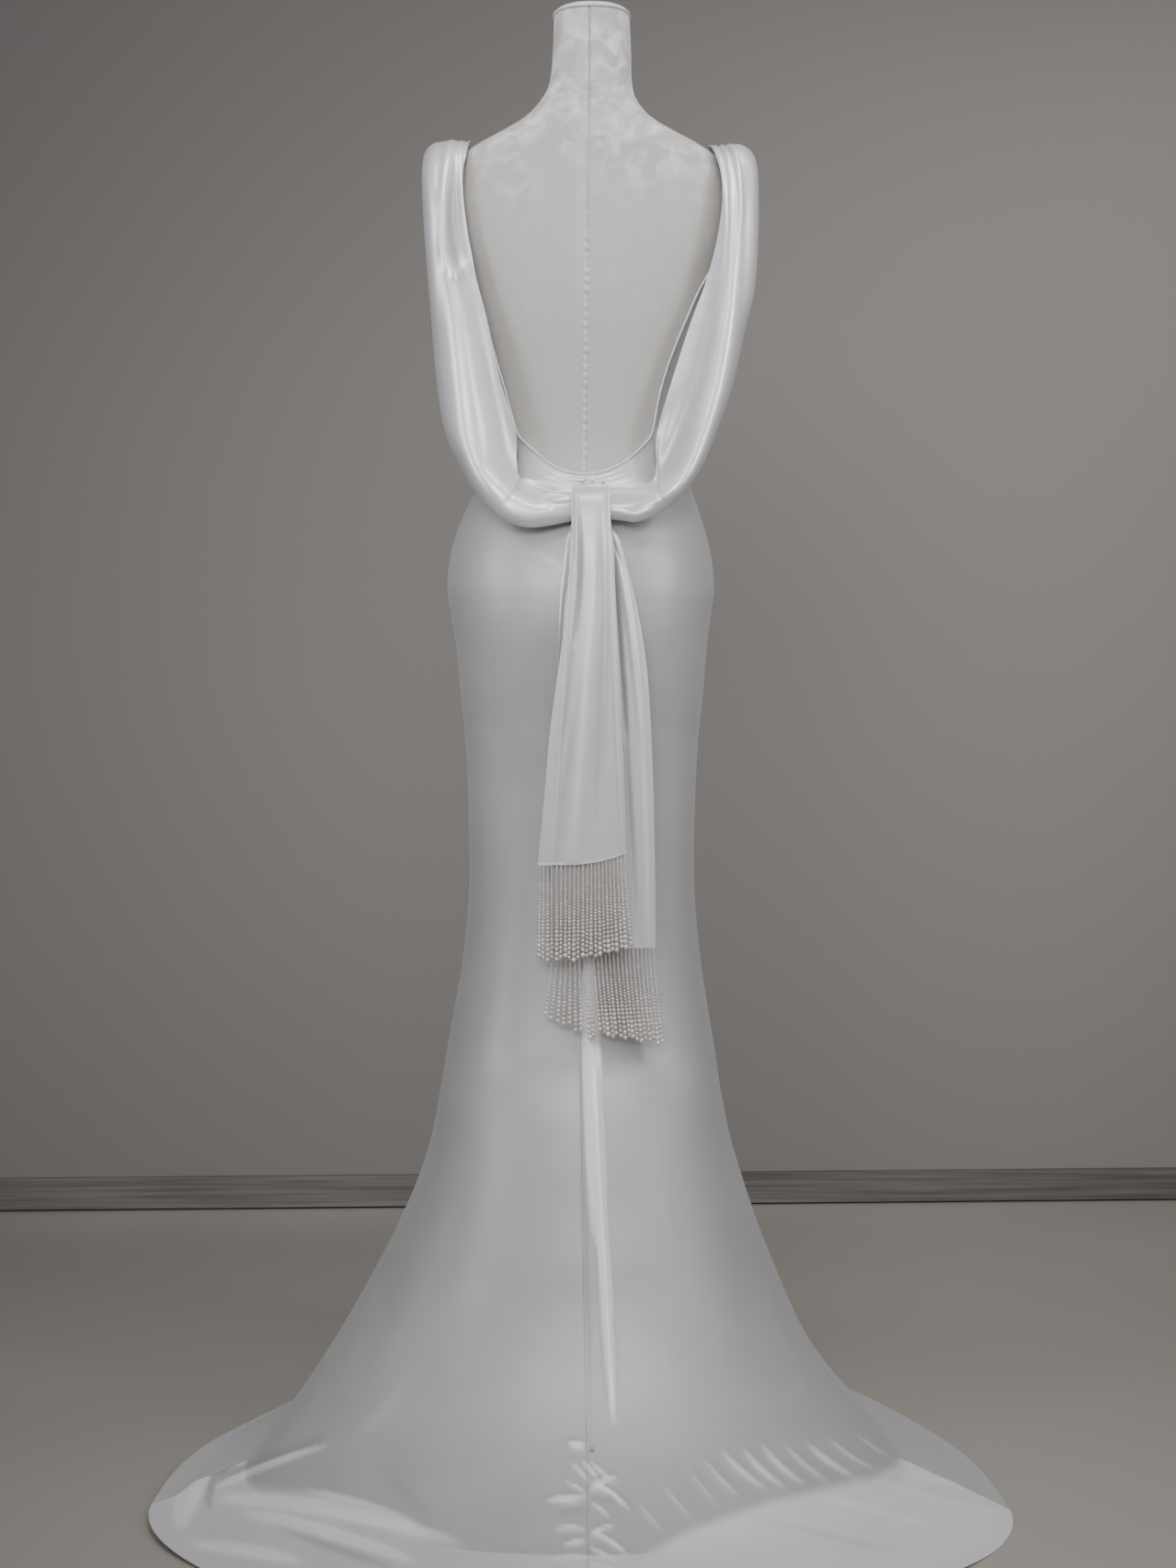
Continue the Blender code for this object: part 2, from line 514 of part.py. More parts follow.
for index, point in enumerate(edge_points):
    along = edge_points[min(index + 1, len(edge_points) - 1)] - edge_points[max(index - 1, 0)]
    outward = Vector((point.x, point.y, 0.0)).normalized()
    open_side = along.cross(outward).normalized()
    beside = point + open_side * (BINDING_RADIUS + 2 * SEAM_GAP) + outward * SEAM_GAP
    spline.points[index].co = (*beside, 1.0)
dress.objects.link(bpy.data.objects.new("back_binding", binding_curve))


# Skirt: rings over the hips of the form, then down to the floor and out along it
HIP_HEIGHTS = (WAIST_HEIGHT - HALF_SEAM, 1.110, 1.080, 1.050, 1.020)
skirt_rings = [form_ring(height, EASE + SATIN) for height in HIP_HEIGHTS] + SKIRT_RINGS
for share in TRAIN_STEPS:
    landing = np.array(SKIRT_RINGS[-1])
    skirt_rings.append(tuple(landing + (np.array(HEM_RING) - landing) * share))
LANDED = len(skirt_rings) - len(TRAIN_STEPS)     # first ring that lies on the floor
TRAIN_HUB = -0.25          # y of the point that the train's wrinkles spread from
RIPPLE_COUNT = 17          # wrinkles to a whole turn
CURL_MIDDLE = -1.45        # turn to the left, in radians, at which the hem curls most
CURL_WIDTH = 0.40


def held(value):
    return min(max(value, 0.0), 1.0)


def seam_ridge(x, height):
    """The bias fold beside the centre-back seam, from under the fringe to the train."""
    shown = held((0.62 - height) / 0.30) * held((height - 0.01) / 0.05)
    middle = 0.0088 + 0.043 * (0.45 - height)
    return SEAM_RIDGE * shown * math.exp(-((x - middle) / 0.012) ** 2)


def train_ripple(x, y, share):
    """Wrinkles that spread over the train from where the skirt lands, at a share of the way out."""
    turn = math.atan2(x, TRAIN_HUB - y)
    wave = 0.5 + 0.5 * math.sin(RIPPLE_COUNT * turn + 1.3 * math.sin(5 * turn))
    return TRAIN_RIPPLE * wave * math.sin(math.pi * share) * held(-(y + 0.05) / 0.2)


def hem_curl(x, y):
    """Rise of the hem where it turns up."""
    turn = math.atan2(x, TRAIN_HUB - y)
    return HEM_CURL * math.exp(-((turn - CURL_MIDDLE) / CURL_WIDTH) ** 2)


def panel_shift(angle, behind):
    """How a point of a panel moves aside, so that the panels clear each other at the seams."""
    if not behind:
        return (math.copysign(HALF_SEAM, 180 - angle), HALF_SEAM, 0.0)
    to_side = abs(math.sin(math.radians(angle)))
    apart = HALF_SEAM * (1 - to_side) - SEAM_GAP * to_side
    return (apart * math.copysign(1.0, angle), -HALF_SEAM, 0.0)


def skirt_panel(name, angles, behind):
    """One panel of the skirt, between two seams."""
    outer = np.array([[on_ring(angle, *ring) for angle in angles] for ring in skirt_rings])
    across = np.array([[on_ring(angle + 0.5, *ring) - on_ring(angle - 0.5, *ring)
                        for angle in angles] for ring in skirt_rings])
    slope = grid_normals(outer, across)[LANDED - 2, :, 2]
    outer[LANDED:, :, 2] = SATIN * np.clip(slope * 1.25 - 0.20, 0.0, 1.0)
    normals = grid_normals(outer, across)
    inner = outer - normals * SATIN
    inner[LANDED - 1:, :, 2] = 0.0
    inner[:, :, 2] = np.maximum(inner[:, :, 2], 0.0)
    for column in range(len(angles)):
        for row in range(len(skirt_rings)):
            x, y, height = outer[row, column]
            if y < 0:
                outer[row, column] += normals[row, column] * seam_ridge(x, height)
        for row, share in enumerate(TRAIN_STEPS, start=LANDED):
            outer[row, column, 2] += train_ripple(outer[row, column, 0], outer[row, column, 1], share)
        curl = hem_curl(outer[-1, column, 0], outer[-1, column, 1])
        outer[-1, column, 2] += curl
        inner[-1, column, 2] += curl
    shifts = np.array([panel_shift(angle, behind) for angle in angles])
    cloth(name, outer + shifts, inner + shifts, satin)


BACK_COLUMNS = 15
FRONT_COLUMNS = 9
COLUMN_CROWDING = 1.45     # columns stand closer together towards the centre back
SEAM_SIDE = 1e-9           # degrees that tell a left panel's centre edge from a right one's
back_angles = [90 * (column / (BACK_COLUMNS - 1)) ** COLUMN_CROWDING for column in range(BACK_COLUMNS)]
skirt_panel("skirt_front_right", np.linspace(90, 180 - SEAM_SIDE, FRONT_COLUMNS), behind=False)
skirt_panel("skirt_front_left", np.linspace(180 + SEAM_SIDE, 270, FRONT_COLUMNS), behind=False)
skirt_panel("skirt_back_left", [-max(angle, SEAM_SIDE) for angle in reversed(back_angles)], behind=True)
skirt_panel("skirt_back_right", back_angles, behind=True)


# Drapes: bias bands folded in two, over the shoulders and down to the middle of the back
def raised(start, end, share, rise, body_side):
    """A point between two others, moved off the line away from the body."""
    span = end - start
    away = span * (body_side @ span) / (span @ span) - body_side
    away /= np.linalg.norm(away)
    return start + span * share + away * rise


def drape(name, table, folds, left):
    """A folded band: its under layer, the rolled outer fold and the layer that shows."""
    sections = []
    for index, row in enumerate(smooth_rows(table, DRAPE_ROWS)):
        inner_edge, ridge, fold = row[0:3], row[3:6], row[6:9]
        body_side = np.array((ridge[0] * 0.8, 0.0, min(ridge[2], SHOULDER_HEIGHT - 0.03))) - ridge
        body_side /= np.linalg.norm(body_side)
        tuck = np.interp(index / (DRAPE_ROWS - 1), *DRAPE_TUCK)
        under = fold + (inner_edge - fold) * tuck + body_side * DRAPE_FOLD * tuck
        roll = raised(fold, ridge, 0.5, DRAPE_ROLL * np.linalg.norm(ridge - fold), body_side)
        width = np.linalg.norm(inner_edge - ridge)
        shoulder = raised(ridge, inner_edge, 0.3, DRAPE_SHOULDER * width, body_side)
        sunk = raised(ridge, inner_edge, 0.7, -DRAPE_DIP * min(1.0, index / 4), body_side)
        section = smooth_rows([under, fold, roll, ridge, shoulder, sunk, inner_edge], DRAPE_COLUMNS)
        sections.append(section if left else section[::-1])
    outer = folded(np.array(sections), folds, from_left=left)
    cloth(name, outer, outer - grid_normals(outer) * SASH_CLOTH, satin)


drape("drape_left", LEFT_DRAPE, LEFT_DRAPE_FOLDS, left=True)
drape("drape_right", RIGHT_DRAPE, RIGHT_DRAPE_FOLDS, left=False)


# Sash tails and their pearl fringe
TAIL_ROWS = 16
TAIL_COLUMNS = 10


def tail(name, table, folds):
    """One end of the sash, hanging in soft folds."""
    over = np.linspace(0.0, 1.0, TAIL_COLUMNS)
    outer = np.array([np.stack((left + (right - left) * over, np.full_like(over, depth),
                                np.full_like(over, height)), axis=1)
                      for height, left, right, depth in smooth_rows(table, TAIL_ROWS)])
    outer = folded(outer, folds)
    cloth(name, outer, outer - grid_normals(outer) * SASH_CLOTH, sash_satin)


tail("tail_front", FRONT_TAIL, FRONT_TAIL_FOLDS)
tail("tail_rear", REAR_TAIL, REAR_TAIL_FOLDS)


def strand(body, ring, root, tip, size):
    """One strand of pearls, from its place on the tape to its tip."""
    for share in STRAND_STEPS:
        place = root + (tip - root) * share
        place.x = root.x + (tip.x - root.x) * share ** STRAND_SPREAD
        half = size / 2 * np.interp(share, (0.0, 1.0), STRAND_TAPER)
        lower = [body.verts.new(place + Vector((side * half, depth * half, 0.0)))
                 for side, depth in ((-1, -1), (1, -1), (1, 1), (-1, 1))]
        for corner in range(4):
            beside = (corner + 1) % 4
            body.faces.new((ring[corner], ring[beside], lower[beside], lower[corner]))
        ring = lower
    body.faces.new(ring)


def fringe(name, hem, sizes):
    """A tape under a tail's hem, with the strands of pearls that hang from it."""
    count, tip_left, tip_right, low_left, low_right, tip_depth, size = sizes
    hem_height, hem_left, hem_right, hem_depth = hem
    top = hem_height - SEAM_GAP
    low = top - FRINGE_TAPE
    pitch = (hem_right - hem_left) / count
    roots = [hem_left + (index + 0.5) * pitch for index in range(count)]
    stations = [root + side * pitch * STRAND_SHARE / 2 for root in roots for side in (-1, 1)]
    body = bmesh.new()
    outer_top, inner_top, outer_low, inner_low = (
        [body.verts.new((x, depth, height)) for x in stations]
        for height in (top, low) for depth in (hem_depth, hem_depth + TAPE_THICKNESS))
    for here in range(len(stations) - 1):
        beside = here + 1
        body.faces.new((outer_top[here], outer_top[beside], inner_top[beside], inner_top[here]))
        body.faces.new((outer_top[here], outer_low[here], outer_low[beside], outer_top[beside]))
        body.faces.new((inner_top[here], inner_top[beside], inner_low[beside], inner_low[here]))
        if here % 2:
            body.faces.new((outer_low[here], inner_low[here], inner_low[beside], outer_low[beside]))
    for end in (0, -1):
        body.faces.new((outer_top[end], inner_top[end], inner_low[end], outer_low[end]))
    for index, root in enumerate(roots):
        across = index / (count - 1)
        start = 2 * index
        ring = [outer_low[start], outer_low[start + 1], inner_low[start + 1], inner_low[start]]
        tip = Vector((tip_left + (tip_right - tip_left) * across, tip_depth + TAPE_THICKNESS / 2,
                      low_left + (low_right - low_left) * across))
        strand(body, ring, Vector((root, hem_depth + TAPE_THICKNESS / 2, low)), tip, size)
    bmesh.ops.recalc_face_normals(body, faces=body.faces)
    mesh = bpy.data.meshes.new(name)
    body.to_mesh(mesh)
    body.free()
    mesh.materials.append(pearl)
    dress.objects.link(bpy.data.objects.new(name, mesh))


fringe("fringe_front", FRONT_TAIL[-1], FRONT_FRINGE)
fringe("fringe_rear", REAR_TAIL[-1], REAR_FRINGE)


# Closure: three clear crystal buttons at the middle of the low back, and one on the train
def button(name, place, outward, radius):
    """A flattened crystal, set off from a place on the cloth."""
    reach = radius * np.linalg.norm(outward * (1.0, CRYSTAL_SQUASH, 1.0))
    body = bmesh.new()
    bmesh.ops.create_uvsphere(body, u_segments=8, v_segments=5, radius=radius)
    bmesh.ops.scale(body, vec=(1.0, CRYSTAL_SQUASH, 1.0), verts=body.verts)
    mesh = bpy.data.meshes.new(name)
    body.to_mesh(mesh)
    body.free()
    mesh.materials.append(crystal)
    piece = bpy.data.objects.new(name, mesh)
    piece.location = place + outward * (reach + CRYSTAL_GAP)
    dress.objects.link(piece)


for number, (x, height) in enumerate(CRYSTALS, start=1):
    _, middle, half, *_ = form_ring(height)
    turn = math.asin((abs(x - middle) / half) ** (ROUNDNESS / 2))
    angle = math.copysign(math.degrees(turn), x - middle)
    button(f"closure_crystal_{number}", on_form(angle, height, BODICE_OUTSIDE),
           form_normal(angle, height), CRYSTAL_RADIUS)

button_x, button_height, button_radius = TRAIN_BUTTON
ring = [row[0] for row in SKIRT_RINGS].index(button_height)
above, below = SKIRT_RINGS[ring - 1], SKIRT_RINGS[ring + 1]
slope = np.array((0.0, below[0] - above[0], above[6] - below[6]))
place = np.array((button_x, SKIRT_RINGS[ring][6] - 2 * SEAM_GAP, button_height))
button("train_button", place, slope / np.linalg.norm(slope), button_radius)
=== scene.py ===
"""The look of a bias-cut satin wedding dress on a dress form, seen from its open back.

Metres, +Z up, the form's axis is the Z axis.  -Y is the back of the gown.  Angles round the
body start at the centre back and grow towards +X.
"""

import math

import bmesh
import bpy
import numpy as np
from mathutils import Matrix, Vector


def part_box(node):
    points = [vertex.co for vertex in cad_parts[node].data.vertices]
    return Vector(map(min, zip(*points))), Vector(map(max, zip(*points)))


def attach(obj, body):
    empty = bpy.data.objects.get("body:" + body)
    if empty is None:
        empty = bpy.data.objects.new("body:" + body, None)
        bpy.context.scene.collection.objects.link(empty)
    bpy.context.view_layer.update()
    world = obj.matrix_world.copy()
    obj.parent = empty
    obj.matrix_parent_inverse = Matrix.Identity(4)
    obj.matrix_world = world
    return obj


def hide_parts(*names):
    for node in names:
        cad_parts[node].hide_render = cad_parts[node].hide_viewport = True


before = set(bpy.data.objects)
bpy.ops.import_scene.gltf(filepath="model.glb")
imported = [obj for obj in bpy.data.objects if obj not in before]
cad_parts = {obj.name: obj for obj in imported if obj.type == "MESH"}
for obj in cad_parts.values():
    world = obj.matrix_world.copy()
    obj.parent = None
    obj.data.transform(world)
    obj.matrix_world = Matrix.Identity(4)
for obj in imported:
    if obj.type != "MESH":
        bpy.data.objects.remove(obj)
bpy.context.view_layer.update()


# Room.  A plain painted wall, a smooth pale floor, and soft light from above and behind
# the camera, as in a studio.
class Shade:
    """A socket of a node tree, on which + - * / make Math nodes."""

    def __init__(self, tree, socket=None):
        self.tree = tree
        self.socket = socket

    def node(self, kind, inputs=(), output=0, **settings):
        """Any node of the tree, with its inputs given by name or number; returns one output."""
        made = self.tree.nodes.new(kind)
        for name, value in settings.items():
            setattr(made, name, value)
        for name, value in dict(inputs).items():
            if isinstance(value, Shade):
                self.tree.links.new(value.socket, made.inputs[name])
            else:
                made.inputs[name].default_value = value
        return Shade(self.tree, made.outputs[output])

    def math(self, operation, first, second):
        return self.node("ShaderNodeMath", {0: first, 1: second}, operation=operation)

    def __add__(self, other):
        return self.math("ADD", self, other)

    def __radd__(self, other):
        return self.math("ADD", other, self)

    def __sub__(self, other):
        return self.math("SUBTRACT", self, other)

    def __rsub__(self, other):
        return self.math("SUBTRACT", other, self)

    def __mul__(self, other):
        return self.math("MULTIPLY", self, other)

    def __rmul__(self, other):
        return self.math("MULTIPLY", other, self)

    def __truediv__(self, other):
        return self.math("DIVIDE", self, other)

    def __rtruediv__(self, other):
        return self.math("DIVIDE", other, self)

    def noise(self, scale, detail=2.0, distortion=0.0):
        """Noise from 0 to 1 at these coordinates."""
        return self.node("ShaderNodeTexNoise", {"Vector": self, "Scale": scale, "Detail": detail,
                                                "Distortion": distortion})

    def spread(self, low, high, to_low=0.0, to_high=1.0):
        """The value stretched from one range to another, and held at its ends."""
        return self.node("ShaderNodeMapRange", {"Value": self, 1: low, 2: high, 3: to_low, 4: to_high})

    def mix(self, first, second):
        """One colour at 0 and another at 1, each as three numbers or a socket."""
        first, second = (colour if isinstance(colour, Shade) else (*colour, 1.0) for colour in (first, second))
        return self.node("ShaderNodeMix", {0: self, 6: first, 7: second}, output=2, data_type="RGBA")


def new_material(name, settings):
    """A material with plain values on its Principled shader; returns it, its tree and shader."""
    material = bpy.data.materials.new(name)
    material.use_nodes = True
    shader = material.node_tree.nodes["Principled BSDF"]
    for key, value in settings.items():
        shader.inputs[key].default_value = value
    return material, Shade(material.node_tree), shader


def plug(shader, name, value):
    """Feeds a value into one of the shader's inputs."""
    value.tree.links.new(value.socket, shader.inputs[name])


def bump(tree, height, distance, strength=1.0):
    return tree.node("ShaderNodeBump", {"Height": height, "Distance": distance, "Strength": strength})


def add_object(name, points, faces, material, smooth=True):
    """A mesh object from its points and faces."""
    mesh = bpy.data.meshes.new(name)
    mesh.from_pydata([tuple(point) for point in points], [], [tuple(face) for face in faces])
    mesh.materials.append(material)
    if smooth:
        mesh.shade_smooth()
    piece = bpy.data.objects.new(name, mesh)
    bpy.context.scene.collection.objects.link(piece)
    return piece


FLOOR_COLOUR = (0.265, 0.242, 0.212)
WALL_COLOUR = (0.250, 0.236, 0.222)
WALL_Y = 1.41              # straight behind the gown
WALL_SLANT = 0.054         # metres that the wall runs back for each metre to the right
SKIRTING = 0.060
wall_paint, tree, shader = new_material("wall_paint", {"Roughness": 0.85})
place = tree.node("ShaderNodeTexCoord", output=3)
across = place.node("ShaderNodeSeparateXYZ", {0: place}, output=0)
# The wall's colour: random mottle, plus painted light that makes the wall lighter towards +X, the right.
wall_mottle_and_painted_light = place.noise(0.6, 3.0).spread(0.3, 0.7, 0.0, 0.3) + across.spread(-0.9, 0.9, 0.0, 0.7)
plug(shader, "Base Color", wall_mottle_and_painted_light.mix(WALL_COLOUR, [value * 1.15 for value in WALL_COLOUR]))
floor_resin, tree, shader = new_material("floor_resin", {"Roughness": 0.30})
place = tree.node("ShaderNodeTexCoord", output=3)
across = place.node("ShaderNodeSeparateXYZ", {0: place}, output=0)
near = place.node("ShaderNodeSeparateXYZ", {0: place}, output=1)
# The floor's colour: random mottle, plus painted light that makes the floor lighter towards the right and towards the
# camera.
floor_mottle_and_painted_light = place.noise(0.8, 3.0).spread(0.3, 0.7, 0.0, 0.2) + across.spread(-0.9, 0.6, 0.0, 0.3)
plug(shader, "Base Color", (floor_mottle_and_painted_light + near.spread(0.9, -0.7, 0.0, 0.5)).mix(
    FLOOR_COLOUR, [value * 1.70 for value in FLOOR_COLOUR]))
steel, tree, shader = new_material("brushed_steel", {"Roughness": 0.38, "Metallic": 0.9})
brushed = tree.node("ShaderNodeTexCoord", output=3)
brushed = brushed.node("ShaderNodeMapping", {"Vector": brushed, "Scale": (0.6, 1.0, 30.0)}).noise(6.0, 3.0)
plug(shader, "Base Color", brushed.spread(0.3, 0.7).mix((0.20, 0.185, 0.17), (0.34, 0.32, 0.30)))
ends = [(x, WALL_Y + WALL_SLANT * x) for x in (-9.0, 9.0)]
(left, left_y), (right, right_y) = ends
floor = add_object("floor", [(left, -7, 0), (right, -7, 0), (right, right_y, 0), (left, left_y, 0)],
                   [(0, 1, 2, 3)], floor_resin)
wall = add_object("wall", [(left, left_y, 0), (right, right_y, 0), (right, right_y, 5), (left, left_y, 5)],
                  [(0, 1, 2, 3)], wall_paint)
edge = [(x, y - out, z) for x, y in ends for out, z in ((0.012, 0.003), (0.012, SKIRTING), (0.0, SKIRTING))]
skirting = add_object("skirting", edge, [(0, 3, 4, 1), (1, 4, 5, 2)], steel, smooth=False)

CAMERA_PLACE = (0.0, -3.0, 0.78)
LENS = 54.63               # millimetres on a 36 mm high frame
camera_data = bpy.data.cameras.new("camera")
camera_data.sensor_fit = "VERTICAL"
camera_data.sensor_height = 36.0
camera_data.lens = LENS
camera = bpy.data.objects.new("camera", camera_data)
camera.location = CAMERA_PLACE
camera.rotation_euler = (math.pi / 2, 0.0, 0.0)
bpy.context.scene.collection.objects.link(camera)
bpy.context.scene.camera = camera

# name, place, aimed at, width, height, spread in degrees, watts
LIGHTS = [
    ("sky_panel", (0.10, -0.80, 2.70), (0.0, -0.10, 1.25), 1.4, 0.8, 90, 4.2),
    ("front_high", (-0.5, -3.3, 2.2), (0.0, 0.0, 1.45), 2.0, 1.2, 55, 6.2),
    ("front_broad", (0.6, -3.6, 1.2), (0.0, 0.0, 0.9), 2.4, 1.6, 180, 2.6),
    ("right_panel", (1.55, -1.15, 1.85), (0.0, 0.0, 1.40), 0.38, 1.3, 120, 5.2),
    ("left_panel", (-1.60, -1.0, 1.75), (0.0, 0.0, 1.35), 0.38, 1.3, 120, 4.0),
    ("train_panel", (0.40, -1.25, 2.20), (0.25, -1.05, 0.0), 0.9, 0.6, 60, 1.3),
    ("wall_wash", (1.3, 0.35, 2.6), (0.8, 1.45, 0.9), 1.8, 0.6, 100, 5.4),
]
for name, place, aim, width, height, spread, watts in LIGHTS:
    lamp = bpy.data.lights.new(name, "AREA")
    lamp.shape = "RECTANGLE"
    lamp.size = width
    lamp.size_y = height
    lamp.spread = math.radians(spread)
    lamp.energy = watts
    lamp.color = (0.99, 0.985, 1.0)
    light = bpy.data.objects.new(name, lamp)
    light.location = place
    x, y, z = (there - here for here, there in zip(place, aim))
    light.rotation_euler = (math.atan2(math.hypot(x, y), -z), 0.0, math.atan2(-x, y))
    bpy.context.scene.collection.objects.link(light)
world = bpy.data.worlds.new("soft_room")
world.use_nodes = True
world.node_tree.nodes["Background"].inputs["Color"].default_value = (0.93, 0.95, 1.0, 1.0)
world.node_tree.nodes["Background"].inputs["Strength"].default_value = 0.36
bpy.context.scene.world = world


# Dress form.  A padded torso under stretched crushed velvet, sewn up the centre back and
# closed at the neck by a round cap with a corded seam.
ROUNDNESS = 2.3            # superellipse exponent of the body's plan
# height, middle x, half width, front depth, back depth
FORM_RINGS = [
    (1.745, 0.0048, 0.0475, 0.048, 0.046),
    (1.700, 0.0050, 0.0493, 0.050, 0.048),
    (1.664, 0.0035, 0.0516, 0.053, 0.051),
    (1.641, 0.0012, 0.0597, 0.058, 0.055),
    (1.618, 0.0000, 0.0790, 0.062, 0.059),
    (1.600, 0.0000, 0.1080, 0.064, 0.062),
    (1.582, 0.0000, 0.1420, 0.066, 0.064),
    (1.565, 0.0000, 0.1640, 0.069, 0.065),
    (1.540, 0.0000, 0.1740, 0.075, 0.068),
    (1.500, 0.0000, 0.1770, 0.090, 0.074),
    (1.450, 0.0000, 0.1700, 0.108, 0.081),
    (1.400, 0.0000, 0.1560, 0.121, 0.086),
    (1.350, 0.0000, 0.1450, 0.123, 0.087),
    (1.300, 0.0000, 0.1340, 0.112, 0.085),
    (1.250, 0.0000, 0.1240, 0.099, 0.083),
    (1.200, -0.0010, 0.1210, 0.092, 0.083),
    (1.160, -0.0040, 0.1290, 0.091, 0.090),
    (1.140, -0.0060, 0.1360, 0.092, 0.099),
    (1.110, -0.0080, 0.1480, 0.094, 0.114),
    (1.080, -0.0090, 0.1570, 0.097, 0.126),
    (1.050, -0.0092, 0.1625, 0.100, 0.134),
    (1.020, -0.0092, 0.1635, 0.102, 0.138),
    (0.990, -0.0090, 0.1575, 0.101, 0.135),
    (0.960, -0.0082, 0.1500, 0.097, 0.126),
    (0.940, -0.0078, 0.1420, 0.092, 0.115),
    (0.930, -0.0076, 0.1300, 0.084, 0.102),
]
FORM_TOP = 1.745
CAP_RISE = 0.015


def curve_through(rows, steps):
    """Rows of a smooth curve through the given rows, with steps rows for each gap."""
    rows = np.array(rows, dtype=float)
    last = len(rows) - 1
    result = []
    for place in np.linspace(0.0, last, last * steps + 1):
        start = min(int(place), last - 1)
        share = place - start
        before, first, second, after = (rows[min(max(start + step, 0), last)] for step in (-1, 0, 1, 2))
        result.append(0.5 * (2 * first + (second - before) * share
                             + (2 * before - 5 * first + 4 * second - after) * share ** 2
                             + (3 * first - before - 3 * second + after) * share ** 3))
    return np.array(result)


def spaced(rows, count, measure):
    """The rows read again at even distances along the columns named in measure."""
    steps = np.linalg.norm(np.diff(rows[:, measure], axis=0), axis=1)
    along = np.concatenate(([0.0], np.cumsum(steps)))
    wanted = np.linspace(0.0, along[-1], count)
    return np.stack([np.interp(wanted, along, rows[:, column]) for column in range(rows.shape[1])], axis=1)


FORM_CURVE = curve_through(FORM_RINGS, 12)[::-1]


def ring_points(angles, height, centre, left, right, middle, front, back, roundness):
    """Points of a ring round the body, at angles in degrees from the centre back."""
    side = np.sin(np.radians(angles))
    rear = np.cos(np.radians(angles))
    half = np.where(side > 0, right, left)
    reach = np.where(rear > 0, middle - back, front - middle)
    x = centre + half * np.sign(side) * np.abs(side) ** (2 / roundness)
    y = middle - reach * np.sign(rear) * np.abs(rear) ** (2 / roundness)
    return np.stack((x, y, np.full_like(x, height)), axis=-1)


def form_ring(height, offset=0.0):
    """The dress form's ring at a height, or a ring moved out from it."""
    centre, half, front, back = (np.interp(height, FORM_CURVE[:, 0], FORM_CURVE[:, column])
                                 for column in (1, 2, 3, 4))
    return (height, centre, half + offset, half + offset, 0.0, front + offset, -back - offset, ROUNDNESS)


def on_form(angles, height, offset=0.0):
    """Points on the dress form's skin, or moved out from it."""
    return ring_points(angles, *form_ring(height, offset))


def unit_normals(grid):
    """Unit normals of a grid whose columns run left to right, seen from outside."""
    normals = np.cross(np.gradient(grid, axis=0), np.gradient(grid, axis=1))
    return normals / np.maximum(np.linalg.norm(normals, axis=2, keepdims=True), 1e-12)


def velvet_material(name, tone):
    """Crushed velvet: a short nap, pressed in patches that catch the light another way. Its colour also holds painted
    sheen on the shoulder tops, a painted rim highlight, a painted sheen band beside the seam, and painted shade and
    highlight along the seam.
    """
    material, tree, shader = new_material(name, {
        "Roughness": 0.88, "Specular IOR Level": 0.12, "Sheen Weight": 0.90, "Sheen Roughness": 0.34,
        "Sheen Tint": (0.86, 0.90, 1.0, 1.0),
    })
    place = tree.node("ShaderNodeTexCoord", output=3)
    height = place.node("ShaderNodeSeparateXYZ", {0: place}, output=2)
    across = place.node("ShaderNodeSeparateXYZ", {0: place}, output=0)
    crushed = place.noise(40.0, 6.0, 0.6).spread(0.44, 0.64)
    broad = place.noise(11.0, 3.0).spread(0.32, 0.62)
    # Painted sheen: the crushed patches are painted lighter and cooler only on the shoulder tops, where the nap
    # catches the light; the patches themselves are the velvet's real crush.
    high = height.spread(1.49, 1.60, 0.10, 1.0)
    # Painted rim highlight: a light strip along the bare right edge of the back, from 1.19 to 1.34 m high.
    from_rim = across - (height * 0.299 - 0.283)
    painted_rim_sheen = (from_rim * from_rim).spread(0.0, 0.00022, 1.0, 0.0) * height.spread(1.19, 1.22) * height.spread(1.34, 1.30)
    # Painted sheen: a faint light bluish band just left of the centre-back seam.
    beside_seam = across + 0.0085
    painted_seam_sheen = (beside_seam * beside_seam).spread(0.0, 0.00007, 0.14, 0.0) * height.spread(1.30, 1.46)
    crush_and_painted_sheen = crushed * broad * high + crushed * painted_rim_sheen * 0.9 + painted_seam_sheen
    nap = place.noise(900.0, 2.0).spread(0.25, 0.75, -0.08, 0.08)
    # Painted light from the lustre attribute: painted shade where it is negative, painted highlight where it is
    # positive.
    relief = place.node("ShaderNodeAttribute", output=2, attribute_name="lustre", attribute_type="GEOMETRY")
    colour = crush_and_painted_sheen.node("ShaderNodeClamp", {0: crush_and_painted_sheen + nap}).mix(tone, (0.86, 0.87, 0.90))
    colour = relief.spread(-1.0, 0.0, 1.0, 0.0).mix(colour, [0.80 * part for part in tone])
    plug(shader, "Base Color", relief.spread(0.0, 1.0, 0.0, 0.55).mix(colour, (0.86, 0.87, 0.90)))
    pile = place.noise(1400.0, 2.0) * 0.0003
    creased = place.noise(48.0, 5.0, 0.6) * (high * 0.0018 + 0.0004)
    plug(shader, "Normal", bump(tree, pile + creased, 1.0, 0.55))
    return material


